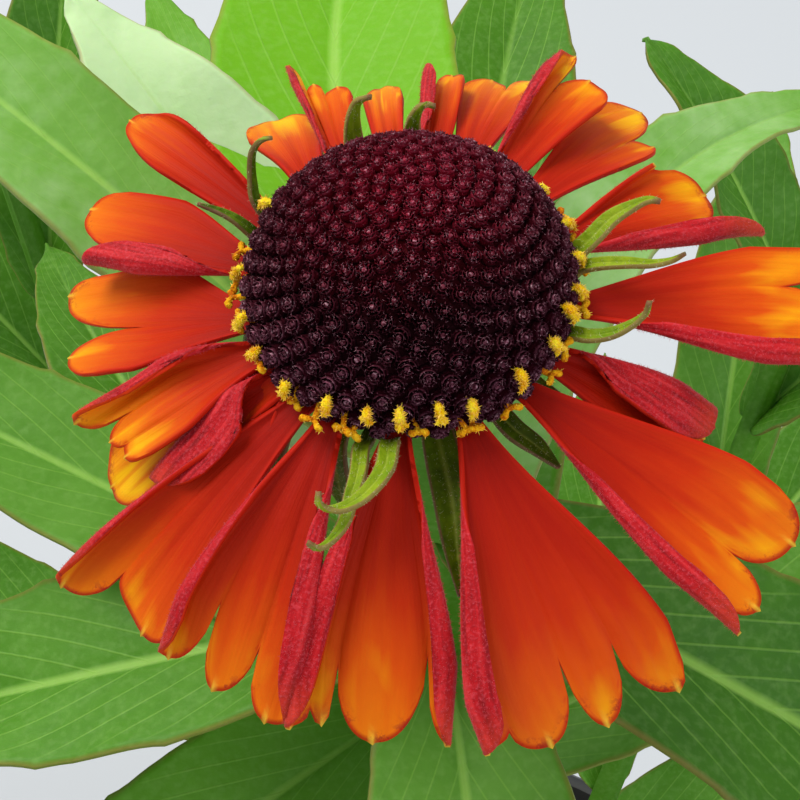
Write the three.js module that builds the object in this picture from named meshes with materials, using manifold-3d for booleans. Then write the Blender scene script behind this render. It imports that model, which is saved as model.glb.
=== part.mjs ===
// A sneezeweed in a plain nursery pot: one stem with an open bloom, and leafy side shoots.
// Millimetres, +Z up. The origin is the centre of the pot's flat underside, where it stands.
import * as THREE from "three";
import { ConvexHull } from "three/addons/math/ConvexHull.js";
import { mergeVertices } from "three/addons/utils/BufferGeometryUtils.js";
import Module from "manifold-3d";

// Pot and potting mix
const POT_HEIGHT = 140;
const POT_BASE_RADIUS = 58;
const POT_TOP_RADIUS = 76;
const POT_WALL = 2;
const RIM_DROP = 14;
const RIM_STANDOUT = 3.2;
const POT_SIDES = 36;
const DRAIN_HOLES = 6;
const DRAIN_RADIUS = 5;
const DRAIN_CIRCLE = 40;
const MIX_TOP = 124;
const MIX_LUMP = 2.2;
const MIX_MOUND = 3;
const MIX_RINGS = 5;
const MIX_SIDES = 26;
const CLEARANCE = 0.3;

// Stems
const STEM_HOLE_DEPTH = 28;
const STEM_RADIUS = 2.3;
const STEM_WING = 1.4;
const STEM_STEPS = 10;
const MAIN_STEM_SCALE = 1.15;
const SHOOT_STEPS = 6;
const SHOOT_SECTOR = 58;
const LEAF_WIDTH = 19;
const LEAF_BASE = 1.9;
const LEAF_ROWS = [0, 0.16, 0.36, 0.58, 0.8, 1];
const LEAF_THICKNESS = 0.7;

// Bloom, in its own frame: +Z is the bloom's axis and z = 0 the level where the rays leave it
const BLOOM_AT = new THREE.Vector3(0, -2, 385);
const BLOOM_LEAN_LEFT = 4;
const BLOOM_LEAN_FRONT = 5;
const DISC_RADIUS = 9.9;
const DISC_RISE = 7.2;
const DISC_MIDDLE = 0.6;
const DISC_BOTTOM = 1.2;
const GOLDEN_ANGLE = 137.508;
const FLORET_COUNT = 260;
const FLORET_RELIEF = 0.4;
const RAY_CIRCLE = 9.6;
const RAY_LEVEL = -0.6;
const RAY_ROOT = 1.6;
const RAY_THICKNESS = 0.62;
const RAY_BAND = { inner: 7, outer: 9.8, bottom: -1.1, top: -0.1 };
const OPEN_BAND = { inner: 7, outer: 9.5, bottom: 0.2, top: 0.9 };
const RECEPTACLE_RADIUS = 8.6;
const RECEPTACLE_TOP = -1.4;
const NECK_DEPTH = 7;
const BRACT_THICKNESS = 0.6;

const degrees = THREE.MathUtils.degToRad;
const wasm = await Module();
wasm.setup();

// A closed geometry as a solid that can be joined and cut
function solidOf(geometry) {
  const bare = geometry.index ? geometry.toNonIndexed() : geometry.clone();
  bare.deleteAttribute("normal");
  bare.deleteAttribute("uv");
  const merged = mergeVertices(bare, 1e-4);
  return new wasm.Manifold(
    new wasm.Mesh({
      numProp: 3,
      vertProperties: new Float32Array(merged.attributes.position.array),
      triVerts: new Uint32Array(merged.index.array),
    }),
  );
}

function geometryOf(solid) {
  const mesh = solid.getMesh();
  const geometry = new THREE.BufferGeometry();
  geometry.setAttribute("position", new THREE.BufferAttribute(new Float32Array(mesh.vertProperties), 3));
  geometry.setIndex(new THREE.BufferAttribute(new Uint32Array(mesh.triVerts), 1));
  geometry.computeVertexNormals();
  return geometry;
}

const joined = (solids) => solids.reduce((whole, piece) => whole.add(piece));

// The same random numbers on every run
function seededRandom(seed) {
  let state = seed;
  return () => {
    state = (state * 1664525 + 1013904223) % 4294967296;
    return state / 4294967296;
  };
}

// A path that leaves a point at an azimuth and an elevation, and bends down and sideways along its length.
// lead is a level run before the point, which sinks the root into what carries it.
function bentPath({ from, azimuth, rise, droop = 0, bend = 0, length, lead = 0, steps = 24 }) {
  const leadShare = lead / (length + lead);
  const heading = (u) => {
    const pitch = u < leadShare ? 0 : degrees(rise - droop * u);
    const yaw = degrees(azimuth + bend * u);
    const out = new THREE.Vector3(Math.cos(yaw), Math.sin(yaw), 0);
    return {
      along: out.clone().multiplyScalar(Math.cos(pitch)).setZ(Math.sin(pitch)),
      up: out.clone().multiplyScalar(-Math.sin(pitch)).setZ(Math.cos(pitch)),
      side: new THREE.Vector3(-Math.sin(yaw), Math.cos(yaw), 0),
    };
  };
  const points = [];
  const point = from.clone().addScaledVector(heading(0).along, -lead);
  for (let i = 0; i <= steps * 1.2; i += 1) {
    points.push(point.clone());
    point.addScaledVector(heading((i + 0.5) / steps).along, (length + lead) / steps);
  }
  return (u) => {
    const k = Math.min(u * steps, points.length - 1 - 1e-6);
    const i = Math.floor(k);
    return { point: points[i].clone().lerp(points[i + 1], k - i), ...heading(u) };
  };
}

// A thin solid on both sides of the surface(u, v), with its two faces split alike and a rim all round
function bladeGeometry(surface, us, vs, thickness) {
  const positions = [];
  const indices = [];
  const across = vs.length;
  const count = us.length * across;
  const near = 1e-3;
  const sheet = us.map((u) =>
    vs.map((v) => {
      const point = surface(u, v);
      const alongU = surface(u + near, v).sub(surface(u - near, v));
      const alongV = surface(u, v + near).sub(surface(u, v - near));
      return { point, normal: alongU.cross(alongV).normalize() };
    }),
  );
  for (const half of [thickness / 2, -thickness / 2]) {
    for (const row of sheet) {
      for (const { point, normal } of row) {
        positions.push(...point.clone().addScaledVector(normal, half).toArray());
      }
    }
  }
  const quad = (a, b, c, d) => indices.push(a, b, c, a, c, d);
  const at = (i, j) => i * across + j;
  for (let i = 0; i < us.length - 1; i += 1) {
    for (let j = 0; j < across - 1; j += 1) {
      quad(at(i, j), at(i + 1, j), at(i + 1, j + 1), at(i, j + 1));
      indices.push(count + at(i, j), count + at(i + 1, j + 1), count + at(i + 1, j));
      indices.push(count + at(i, j), count + at(i, j + 1), count + at(i + 1, j + 1));
    }
    quad(at(i, 0), count + at(i, 0), count + at(i + 1, 0), at(i + 1, 0));
    const last = across - 1;
    quad(at(i + 1, last), count + at(i + 1, last), count + at(i, last), at(i, last));
  }
  const end = us.length - 1;
  for (let j = 0; j < across - 1; j += 1) {
    quad(at(0, j + 1), count + at(0, j + 1), count + at(0, j), at(0, j));
    quad(at(end, j), count + at(end, j), count + at(end, j + 1), at(end, j + 1));
  }
  const geometry = new THREE.BufferGeometry();
  geometry.setAttribute("position", new THREE.Float32BufferAttribute(positions, 3));
  geometry.setIndex(indices);
  return geometry;
}

// A tapering rod with the given outline, closed at both ends
function rodGeometry(curve, steps, outline, radiusAt) {
  const frames = curve.computeFrenetFrames(steps, false);
  const positions = [];
  const indices = [];
  const n = outline.length;
  for (let i = 0; i <= steps; i += 1) {
    const centre = curve.getPointAt(i / steps);
    const radius = radiusAt(i / steps);
    for (const p of outline) {
      positions.push(
        ...centre
          .clone()
          .addScaledVector(frames.normals[i], p.x * radius)
          .addScaledVector(frames.binormals[i], p.y * radius)
          .toArray(),
      );
    }
  }
  for (let i = 0; i < steps; i += 1) {
    for (let j = 0; j < n; j += 1) {
      const a = i * n + j;
      const b = i * n + ((j + 1) % n);
      indices.push(a, b, b + n, a, b + n, a + n);
    }
  }
  for (const [ring, centreAt] of [[0, 0], [steps, 1]]) {
    const hub = positions.length / 3;
    positions.push(...curve.getPointAt(centreAt).toArray());
    for (let j = 0; j < n; j += 1) {
      const a = ring * n + j;
      const b = ring * n + ((j + 1) % n);
      if (ring === 0) indices.push(hub, b, a);
      else indices.push(hub, a, b);
    }
  }
  const geometry = new THREE.BufferGeometry();
  geometry.setAttribute("position", new THREE.Float32BufferAttribute(positions, 3));
  geometry.setIndex(indices);
  return geometry;
}

const roundOutline = (sides) =>
  Array.from({ length: sides }, (_, i) => {
    const a = (i / sides) * 2 * Math.PI;
    return new THREE.Vector2(Math.cos(a), Math.sin(a));
  });

// The stem's section has three thin wings, which run down from the leaf bases
const wingedOutline = Array.from({ length: 9 }, (_, i) => {
  const a = (i / 9) * 2 * Math.PI;
  const reach = i % 3 === 0 ? STEM_WING : 0.95;
  return new THREE.Vector2(reach * Math.cos(a), reach * Math.sin(a));
});

function lathe(profile, sides) {
  const geometry = new THREE.LatheGeometry(profile.map(([r, z]) => new THREE.Vector2(r, z)), sides);
  geometry.rotateX(Math.PI / 2);
  return solidOf(geometry);
}

// Pot: a tapered wall with a stepped rim, a flat floor and a ring of drain holes
function pot() {
  const outerAt = (z) => POT_BASE_RADIUS + ((POT_TOP_RADIUS - POT_BASE_RADIUS) * z) / POT_HEIGHT;
  const rimBottom = POT_HEIGHT - RIM_DROP;
  const rimOuter = outerAt(rimBottom) + RIM_STANDOUT;
  const profile = [
    [0, 0],
    [POT_BASE_RADIUS - 3, 0],
    [POT_BASE_RADIUS, 3],
    [outerAt(rimBottom), rimBottom],
    [rimOuter, rimBottom + 1],
    [rimOuter + 1, POT_HEIGHT - 1.5],
    [rimOuter, POT_HEIGHT],
    [rimOuter - POT_WALL, POT_HEIGHT],
    [rimOuter - POT_WALL - 1, rimBottom + 3],
    [outerAt(rimBottom) - POT_WALL, rimBottom + 1],
    [POT_BASE_RADIUS - POT_WALL, POT_WALL + 1.5],
    [POT_BASE_RADIUS - POT_WALL - 3, POT_WALL],
    [0, POT_WALL],
  ];
  let body = lathe(profile, POT_SIDES);
  for (let i = 0; i < DRAIN_HOLES; i += 1) {
    const a = (i / DRAIN_HOLES) * 2 * Math.PI;
    const hole = new THREE.CylinderGeometry(DRAIN_RADIUS, DRAIN_RADIUS, 12, 10);
    hole.rotateX(Math.PI / 2);
    hole.translate(DRAIN_CIRCLE * Math.cos(a), DRAIN_CIRCLE * Math.sin(a), 0);
    body = body.subtract(solidOf(hole));
  }
  return body;
}

// Potting mix: it fills the pot to below the rim, has a lumpy top, and a plain hole for each stem
function pottingMix(stems) {
  const rings = MIX_RINGS;
  const sides = MIX_SIDES;
  const random = seededRandom(11);
  const innerAt = (z) =>
    POT_BASE_RADIUS - POT_WALL - CLEARANCE + ((POT_TOP_RADIUS - POT_BASE_RADIUS) * z) / POT_HEIGHT;
  const positions = [0, 0, MIX_TOP + MIX_MOUND];
  const indices = [];
  for (let r = 1; r <= rings; r += 1) {
    for (let s = 0; s < sides; s += 1) {
      const a = ((s + (r % 2) / 2) / sides) * 2 * Math.PI;
      const radius = (r / rings) * innerAt(MIX_TOP) * Math.cos(Math.PI / POT_SIDES);
      const mound = MIX_MOUND * (1 - r / rings);
      const lump = r === rings ? 0 : (random() - 0.5) * 2 * MIX_LUMP;
      positions.push(radius * Math.cos(a), radius * Math.sin(a), MIX_TOP + mound + lump);
    }
  }
  const lowRadius = (innerAt(6) - 1) * Math.cos(Math.PI / POT_SIDES);
  for (let s = 0; s < sides; s += 1) {
    const a = ((s + (rings % 2) / 2) / sides) * 2 * Math.PI;
    positions.push(lowRadius * Math.cos(a), lowRadius * Math.sin(a), POT_WALL + CLEARANCE + 2);
  }
  const bottom = positions.length / 3;
  positions.push(0, 0, POT_WALL + CLEARANCE);
  const at = (r, s) => 1 + (r - 1) * sides + (s % sides);
  for (let s = 0; s < sides; s += 1) {
    indices.push(0, at(1, s), at(1, s + 1));
    for (let r = 1; r < rings; r += 1) {
      if (r % 2 === 1) {
        indices.push(at(r, s), at(r + 1, s + 1), at(r, s + 1), at(r, s), at(r + 1, s), at(r + 1, s + 1));
        continue;
      }
      indices.push(at(r, s), at(r + 1, s), at(r, s + 1), at(r, s + 1), at(r + 1, s), at(r + 1, s + 1));
    }
    indices.push(at(rings, s), at(rings + 1, s), at(rings + 1, s + 1));
    indices.push(at(rings, s), at(rings + 1, s + 1), at(rings, s + 1));
    indices.push(bottom, at(rings + 1, s + 1), at(rings + 1, s));
  }
  const geometry = new THREE.BufferGeometry();
  geometry.setAttribute("position", new THREE.Float32BufferAttribute(positions, 3));
  geometry.setIndex(indices);
  let mix = solidOf(geometry);
  for (const { foot, lean, radius } of stems) {
    const hole = new THREE.CylinderGeometry(radius, radius, STEM_HOLE_DEPTH * 2, 12);
    hole.rotateX(Math.PI / 2);
    hole.applyQuaternion(new THREE.Quaternion().setFromUnitVectors(new THREE.Vector3(0, 0, 1), lean));
    hole.translate(...foot.toArray());
    mix = mix.subtract(solidOf(hole));
  }
  return mix;
}

// Leaf: a lance-shaped blade, folded along its midrib, with a wavy edge
function leafSolid({ from, azimuth, length, width, rise, droop, bend = 0, fold = 18 }) {
  const path = bentPath({ from, azimuth, rise, droop, bend, length });
  const halfWidth = (u) => {
    const body = Math.sin(Math.PI * u ** 0.82) ** 0.85;
    return (width / 2) * body + LEAF_BASE - 1.4 * u;
  };
  const surface = (share, v) => {
    const u = Math.max(0, Math.min(1, share));
    const { point, up, side } = path(u);
    const half = halfWidth(u);
    const ripple = 0.8 * Math.sin(u * 11) * Math.abs(v) * Math.min(1, u * 3);
    return point
      .addScaledVector(side, v * half * Math.cos(degrees(fold)))
      .addScaledVector(up, Math.abs(v) * half * Math.sin(degrees(fold)) + ripple);
  };
  return solidOf(bladeGeometry(surface, LEAF_ROWS, [-1, 0, 1], LEAF_THICKNESS));
}

// Side shoots: each leans out from the crown, its leaves turned to its outer side
const SIDE_SHOOTS = [
  { name: "side_shoot_1", azimuth: 55, radius: 24, lean: 19, height: 170, leaves: 7, leaf: 84 },
  { name: "side_shoot_2", azimuth: 122, radius: 26, lean: 20, height: 185, leaves: 7, leaf: 84 },
  { name: "side_shoot_3", azimuth: 192, radius: 26, lean: 22, height: 130, leaves: 6, leaf: 78 },
  { name: "side_shoot_4", azimuth: 263, radius: 26, lean: 20, height: 95, leaves: 6, leaf: 70 },
  { name: "side_shoot_5", azimuth: 337, radius: 26, lean: 22, height: 120, leaves: 6, leaf: 76 },
];

function shootPath({ azimuth, radius, lean, height }) {
  const a = degrees(azimuth);
  const out = new THREE.Vector3(Math.cos(a), Math.sin(a), 0);
  const slope = Math.tan(degrees(lean));
  const foot = out.clone().multiplyScalar(radius).setZ(MIX_TOP - STEM_HOLE_DEPTH + 2);
  const at = (share, ease) => {
    const rise = share * (height + STEM_HOLE_DEPTH - 2);
    return foot.clone().addScaledVector(out, rise * slope * ease).add(new THREE.Vector3(0, 0, rise));
  };
  return new THREE.CatmullRomCurve3([at(0, 1), at(0.3, 1), at(0.65, 0.98), at(1, 0.9)]);
}

function sideShoot(shoot) {
  const curve = shootPath(shoot);
  const radiusAt = (u) => STEM_RADIUS * (1 - 0.45 * u);
  const parts = [solidOf(rodGeometry(curve, SHOOT_STEPS, wingedOutline, radiusAt))];
  for (let i = 0; i < shoot.leaves; i += 1) {
    const share = i / (shoot.leaves - 1);
    const swing = 2 * ((0.2 + i * 0.618) % 1) - 1;
    const sector = SHOOT_SECTOR * (1 + share ** 2);
    parts.push(
      leafSolid({
        from: curve.getPointAt(0.36 + 0.62 * share ** 0.9),
        azimuth: shoot.azimuth + sector * swing,
        length: shoot.leaf * (1 - 0.5 * share ** 1.6),
        width: LEAF_WIDTH * (1 - 0.35 * share),
        rise: 28 + 38 * share,
        droop: 52 - 22 * share,
        bend: -16 * swing,
        fold: 16 + 10 * share,
      }),
    );
  }
  return joined(parts);
}

// The flowering stem's leaves, from the top down. up is the height above the mix.
const STEM_LEAVES = [
  { up: 236, azimuth: 112, length: 84, width: 19, rise: 10, droop: 34, bend: -40 },
  { up: 236, azimuth: 145, length: 70, width: 10, rise: 28, droop: 22 },
  { up: 228, azimuth: 334, length: 74, width: 18, rise: -13, droop: 24, bend: 14 },
  { up: 222, azimuth: 126, length: 56, width: 14, rise: 36, droop: 24, bend: 4 },
  { up: 214, azimuth: 188, length: 66, width: 16, rise: -8, droop: 24, bend: -8 },
  { up: 208, azimuth: 277, length: 64, width: 17, rise: -4, droop: 34 },
  { up: 202, azimuth: 160, length: 74, width: 13, rise: 26, droop: 34, bend: -8 },
  { up: 198, azimuth: 214, length: 70, width: 15, rise: -4, droop: 30 },
  { up: 196, azimuth: 86, length: 88, width: 10, rise: 35, droop: 56, bend: -62 },
  { up: 190, azimuth: 140, length: 76, width: 15, rise: 13, droop: 30, bend: -28 },
  { up: 184, azimuth: 110, length: 88, width: 15, rise: 36, droop: 34, bend: 3 },
  { up: 182, azimuth: 258, length: 66, width: 15, rise: 6, droop: 34, bend: 6 },
  { up: 176, azimuth: 24, length: 84, width: 17, rise: 27, droop: 36, bend: -10 },
  { up: 168, azimuth: 86, length: 112, width: 24, rise: 33, droop: 36, bend: -8 },
];

function flowerStemCurve() {
  const low = new THREE.Vector3(0, 0, -NECK_DEPTH - 40).applyMatrix4(bloomGroup.matrixWorld);
  const top = new THREE.Vector3(0, 0, -NECK_DEPTH - CLEARANCE).applyMatrix4(bloomGroup.matrixWorld);
  return new THREE.CatmullRomCurve3([
    new THREE.Vector3(0, 0, MIX_TOP - STEM_HOLE_DEPTH + 2),
    new THREE.Vector3(0.5, 0.5, MIX_TOP + 30),
    new THREE.Vector3(1.5, 1, MIX_TOP + 90),
    new THREE.Vector3(0.5, 1, MIX_TOP + 160),
    low,
    top,
  ]);
}

function floweringStem() {
  const curve = flowerStemCurve();
  const radiusAt = (u) => STEM_RADIUS * (MAIN_STEM_SCALE - 0.25 * u);
  const parts = [solidOf(rodGeometry(curve, STEM_STEPS, wingedOutline, radiusAt))];
  const length = curve.getLength();
  for (const leaf of STEM_LEAVES) {
    const share = (leaf.up + STEM_HOLE_DEPTH - 2) / length;
    parts.push(leafSolid({ ...leaf, from: curve.getPointAt(Math.min(0.985, share)) }));
  }
  return joined(parts);
}

// Rays: a wedge with lobes at its tip. outline goes across the ray from its right edge to its left one
// and gives, by turns, the edges, tips and notches of the lobes as [place across, reach], where 1 and -1
// are the sides and the reach is a share of the length. left and right are margins folded over on top, as
// shares of the half width, and belly is the share of the length at which the ray has its full width.
const RAYS = [
  {
    at: -94, turn: -3.6, length: 17.9, width: 9.4, rise: -13, droop: 25, right: 0.55, left: 0.38,
    outline: [[-1.55, 0.6], [-1.02, 0.97], [-0.76, 0.92], [-0.6, 0.96], [-0.45, 0.78], [0.05, 1],
      [0.66, 0.72], [1, 0.97], [1.38, 0.7]],
  },
  {
    at: -69, turn: 1.6, length: 19.4, width: 12.6, rise: -12, droop: 25, right: 0.36, belly: 0.76,
    outline: [[-1.36, 0.8], [-1, 0.92], [-0.72, 0.9], [-0.4, 0.98], [-0.06, 0.77], [0.16, 0.99], [0.45, 0.78],
      [0.88, 0.97], [1, 0.9]],
  },
  {
    at: -46, turn: 10.5, length: 17.9, width: 8.8, rise: -5, droop: 20, right: 0.38,
    outline: [[-1.38, 0.8], [-1, 1], [-0.78, 0.92], [-0.5, 1.02], [-0.1, 0.86], [0.55, 1], [1, 0.86]],
  },
  {
    at: -30, turn: 9.5, length: 11, width: 5.2, rise: -19, droop: 20, left: 1.7,
    outline: [[-1, 0.9], [0.3, 1], [1, 0.95], [1.8, 0.97], [2.7, 0.6]],
  },
  {
    at: -8, turn: 9.8, length: 15.8, width: 8.4, rise: 2, droop: 15, right: 0.42,
    outline: [[-1.42, 0.9], [-1, 1.05], [-0.75, 0.95], [-0.2, 1], [0.36, 0.85], [0.9, 1], [1, 0.94]],
  },
  {
    at: 19, turn: 9.5, length: 12.2, width: 6.5, rise: -5, droop: 25, right: 0.6, left: 0.25,
    outline: [[-1.6, 0.4], [-0.95, 1.12], [-0.5, 0.8], [0.3, 1], [1, 0.8], [1.15, 0.75], [1.25, 0.6]],
  },
  {
    at: 42, turn: 11, length: 17.2, width: 6.4, rise: -12, droop: 28,
    outline: [[-1, 0.5], [-0.7, 0.74], [-0.24, 0.68], [0.4, 1], [1, 0.8]],
  },
  {
    at: 56, turn: 3.4, length: 14.4, width: 5, rise: 0, droop: 25, left: 0.7,
    outline: [[-1, 0.7], [-0.1, 0.86], [0.5, 0.7], [0.75, 1], [1.7, 0.4]],
  },
  {
    at: 70, turn: 7.8, length: 17.2, width: 5.4, rise: -14, droop: 30,
    outline: [[-1, 0.9], [-0.5, 1], [-0.1, 0.8], [0.4, 0.9], [1, 0.66]],
  },
  {
    at: 82, turn: 3.9, length: 11.7, width: 2.6, rise: -4, droop: 30, left: 1.2,
    outline: [[-1, 0.9], [-0.2, 1], [0.5, 0.84], [1, 0.95], [2.2, 0.6]],
  },
  {
    at: 97, turn: -0.4, length: 13.7, width: 2.7, rise: -12, droop: 30,
    outline: [[-1, 0.7], [-0.5, 1], [1, 0.7]],
  },
  {
    at: 114, turn: -11, length: 15.2, width: 3.8, rise: -4, droop: 30, left: 0.5,
    outline: [[-1, 0.6], [-0.5, 0.7], [0, 0.68], [0.3, 0.78], [0.6, 0.7], [1, 1.04], [1.5, 0.5]],
  },
  {
    at: 128, turn: -19.9, length: 17.3, width: 5.2, rise: -18, droop: 28,
    outline: [[-1, 0.6], [0.1, 1], [1, 0.72]],
  },
  {
    at: 149, turn: -13, length: 15.1, width: 3.8, rise: 2, droop: 15, right: 0.3,
    outline: [[-1.3, 0.6], [-0.15, 1], [1, 0.5]],
  },
  {
    at: 166, turn: -13.6, length: 15.1, width: 6.2, rise: -6, droop: 20, left: 0.75, belly: 0.5,
    outline: [[-1, 0.85], [-0.5, 1.02], [0.45, 0.7], [0.8, 0.82], [1.75, 0.5]],
  },
  {
    at: 188, turn: -22.5, length: 14.5, width: 8, rise: -14, droop: 18, belly: 0.5,
    outline: [[-1, 0.98], [-0.7, 1.1], [0.1, 0.6], [0.6, 0.94], [1, 0.74]],
  },
  {
    at: 203, turn: -0.8, length: 11.7, width: 4.8, rise: -5, droop: 25, right: 0.6, belly: 0.5,
    outline: [[-1.6, 0.5], [-1, 1.06], [-0.4, 0.8], [0, 0.95], [0.35, 0.88], [0.7, 0.9], [1, 0.78]],
  },
  {
    at: 209, turn: -10.5, length: 14.2, width: 5.4, rise: -24, droop: 20,
    outline: [[-1, 0.8], [0, 1], [1, 0.8]],
  },
  {
    at: 219, turn: -18.4, length: 13.6, width: 3.6, rise: -26, droop: 20,
    outline: [[-1, 0.8], [-0.4, 1], [1, 0.8]],
  },
  {
    at: 217, turn: 4.4, length: 9.8, width: 4.8, rise: -19, droop: 20, right: 1.6, belly: 0.4,
    outline: [[-2.6, 0.6], [-1, 0.98], [0, 0.98], [0.4, 1], [1, 0.8]],
  },
  {
    at: 229, turn: -9.5, length: 18.4, width: 9.2, rise: -15, droop: 26, right: 0.3, belly: 1,
    outline: [[-1.3, 0.75], [-0.95, 1.04], [-0.35, 0.85], [0.5, 0.93], [1, 0.8]],
  },
  {
    at: 242, turn: 2, length: 17.8, width: 8.6, rise: -11, droop: 28, right: 0.35, left: 0.5,
    outline: [[-1.35, 0.8], [-0.9, 0.94], [-0.48, 0.72], [-0.17, 0.98], [0.27, 0.8], [0.7, 1], [1.5, 0.6]],
  },
];
const RAY_CLAW = 0.75;
const RAY_CUP = 0.1;
const FOLD_RADIUS = 0.5;
const FOLD_LIFT = 0.12;
const FOLD_COLUMNS = [0.86, 1, 1.14];
const RAY_ROWS = [0, 0.62, 1];

// How far along the ray its tip reaches at v. Each lobe is a rounded arc between two notches.
function reachAt(v, outline) {
  for (let i = 1; i < outline.length; i += 2) {
    const [[from, low], [tip, high], [to, nextLow]] = outline.slice(i - 1, i + 2);
    if (v > to && i + 2 < outline.length) continue;
    const t = v < tip ? (tip - v) / (tip - from) : (v - tip) / (to - tip);
    const base = v < tip ? low : nextLow;
    return base + (high - base) * Math.sqrt(Math.max(0, 1 - Math.min(1, t) ** 2.2));
  }
  return 1;
}

function rayHalfWidth(u, width, belly = 0.72) {
  const t = Math.min(1, Math.max(0, u) / belly);
  return RAY_CLAW + (width / 2 - RAY_CLAW) * (0.65 * t + 0.35 * t * t * (3 - 2 * t));
}

// A point across the ray, sideways and upwards. Past the fold the margin turns over and lies on top.
function foldedSection(v, half, folded, ramp) {
  const a = Math.abs(v);
  const cup = RAY_CUP * half * Math.min(a, 1) ** 2;
  if (!folded) return [v * half, cup];
  const sheet = half * (Math.min(a, 1) + Math.max(0, a - 1) * ramp);
  const fold = half - FOLD_RADIUS;
  const beyond = Math.max(0, sheet - fold);
  const angle = Math.min(Math.PI, beyond / FOLD_RADIUS);
  const rest = Math.max(0, beyond - Math.PI * FOLD_RADIUS);
  const sideways = Math.min(sheet, fold) + FOLD_RADIUS * Math.sin(angle) - rest;
  return [Math.sign(v) * sideways, cup + FOLD_RADIUS * (1 - Math.cos(angle)) + FOLD_LIFT * rest];
}

// Columns across a ray: at its tips and notches, halfway between two that are far apart, and round each
// fold. A narrow ray has fewer.
function rayColumns({ outline, width, left, right }) {
  const knots = outline.map(([v]) => v);
  const farthest = width > 6 ? 0.32 : 0.9;
  const between = knots.slice(1).map((v, i) => (v - knots[i] > farthest ? (v + knots[i]) / 2 : v));
  const folds = [...(left ? FOLD_COLUMNS : []), ...(right ? FOLD_COLUMNS.map((v) => -v) : [])];
  const all = [...new Set([...knots, ...between, ...folds])].sort((p, q) => p - q);
  return all.filter((v, i) => !(v - all[i - 1] < 0.06));
}

function raySolid(ray) {
  const a = degrees(ray.at);
  const from = new THREE.Vector3(RAY_CIRCLE * Math.cos(a), RAY_CIRCLE * Math.sin(a), RAY_LEVEL);
  const path = bentPath({ ...ray, from, azimuth: ray.at + ray.turn, lead: RAY_ROOT });
  const rootShare = RAY_ROOT / (ray.length + RAY_ROOT);
  const surface = (share, v) => {
    const u = Math.max(0, share * reachAt(v, ray.outline));
    const { point, up, side } = path(Math.min(1.15, u));
    const past = Math.max(0, (u - rootShare) / (1 - rootShare));
    const half = rayHalfWidth(past, ray.width, ray.belly);
    const folded = v > 0 ? ray.left : ray.right;
    const [x, z] = foldedSection(v, half, folded, 0.1 + 0.9 * Math.min(1, past / 0.35));
    return point.addScaledVector(side, x).addScaledVector(up, z);
  };
  return solidOf(bladeGeometry(surface, RAY_ROWS, rayColumns(ray), RAY_THICKNESS));
}

function ringSolid({ inner, outer, bottom, top }, sides) {
  return lathe([[inner, bottom], [outer, bottom], [outer, top], [inner, top], [inner, bottom]], sides);
}

// The rays share a thin ring at their roots, and leave room for the bracts that come up between them
function rayFlorets() {
  const rays = joined([ringSolid(RAY_BAND, 24), ...RAYS.map(raySolid)]);
  return rays.subtract(joined(BRACTS.map((bract) => bractSolid(bract, CLEARANCE))));
}

// Disc: a dome covered by small closed florets in a spiral, each a low six-sided point with valleys round it
function discFlorets() {
  const lowest = (DISC_BOTTOM + 0.5 - DISC_MIDDLE) / DISC_RISE;
  const points = [];
  const outward = (p) =>
    new THREE.Vector3(p.x, p.y, (p.z - DISC_MIDDLE) * (DISC_RADIUS / DISC_RISE) ** 2).normalize();
  for (let i = 0; i < FLORET_COUNT; i += 1) {
    const height = 1 - ((i + 0.5) / FLORET_COUNT) * (1 - lowest);
    const flat = Math.sqrt(1 - height * height) * DISC_RADIUS;
    const a = degrees(GOLDEN_ANGLE * i);
    const point = new THREE.Vector3(flat * Math.cos(a), flat * Math.sin(a), DISC_MIDDLE + DISC_RISE * height);
    point.floret = true;
    points.push(point);
  }
  const rim = 40;
  const rimRadius = DISC_RADIUS - 0.25;
  for (let i = 0; i < rim; i += 1) {
    const a = (i / rim) * 2 * Math.PI;
    points.push(new THREE.Vector3(rimRadius * Math.cos(a), rimRadius * Math.sin(a), DISC_BOTTOM));
  }
  const hull = new ConvexHull().setFromPoints(points);
  const positions = [];
  const number = new Map();
  const place = (key, point) => {
    if (!number.has(key)) {
      number.set(key, positions.length / 3);
      positions.push(...point.toArray());
    }
    return number.get(key);
  };
  const corner = (vertex) => {
    const { point } = vertex;
    const lifted = point.clone();
    if (point.floret) lifted.addScaledVector(outward(point), FLORET_RELIEF);
    return place(point, lifted);
  };
  const isBottom = (face) => face.normal.z < -0.9;
  const valley = (face) => {
    const ends = [face.edge, face.edge.next, face.edge.prev].map((e) => e.head().point);
    const middle = ends[0].clone().add(ends[1]).add(ends[2]).divideScalar(3);
    return place(face, middle.addScaledVector(outward(middle), -FLORET_RELIEF));
  };
  const indices = [];
  for (const face of hull.faces) {
    if (isBottom(face)) {
      indices.push(corner(face.edge.tail()), corner(face.edge.head()), corner(face.edge.next.head()));
      continue;
    }
    for (const edge of [face.edge, face.edge.next, face.edge.prev]) {
      const across = edge.twin.face;
      if (isBottom(across)) indices.push(corner(edge.tail()), corner(edge.head()), valley(face));
      else indices.push(corner(edge.tail()), valley(across), valley(face));
    }
  }
  const geometry = new THREE.BufferGeometry();
  geometry.setAttribute("position", new THREE.Float32BufferAttribute(positions, 3));
  geometry.setIndex(indices);
  return solidOf(geometry);
}

// Open florets: the lowest row of the disc, each with a yellow style that curls out
const STYLES = [
  0, 12, 28, 49, 58, 75, 93, 112, 128, 142, 161, 172, 185, 198, 212, 224, 237, 246, 258, 270, 284, 294,
  306, 318, 332, 347,
];

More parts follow.
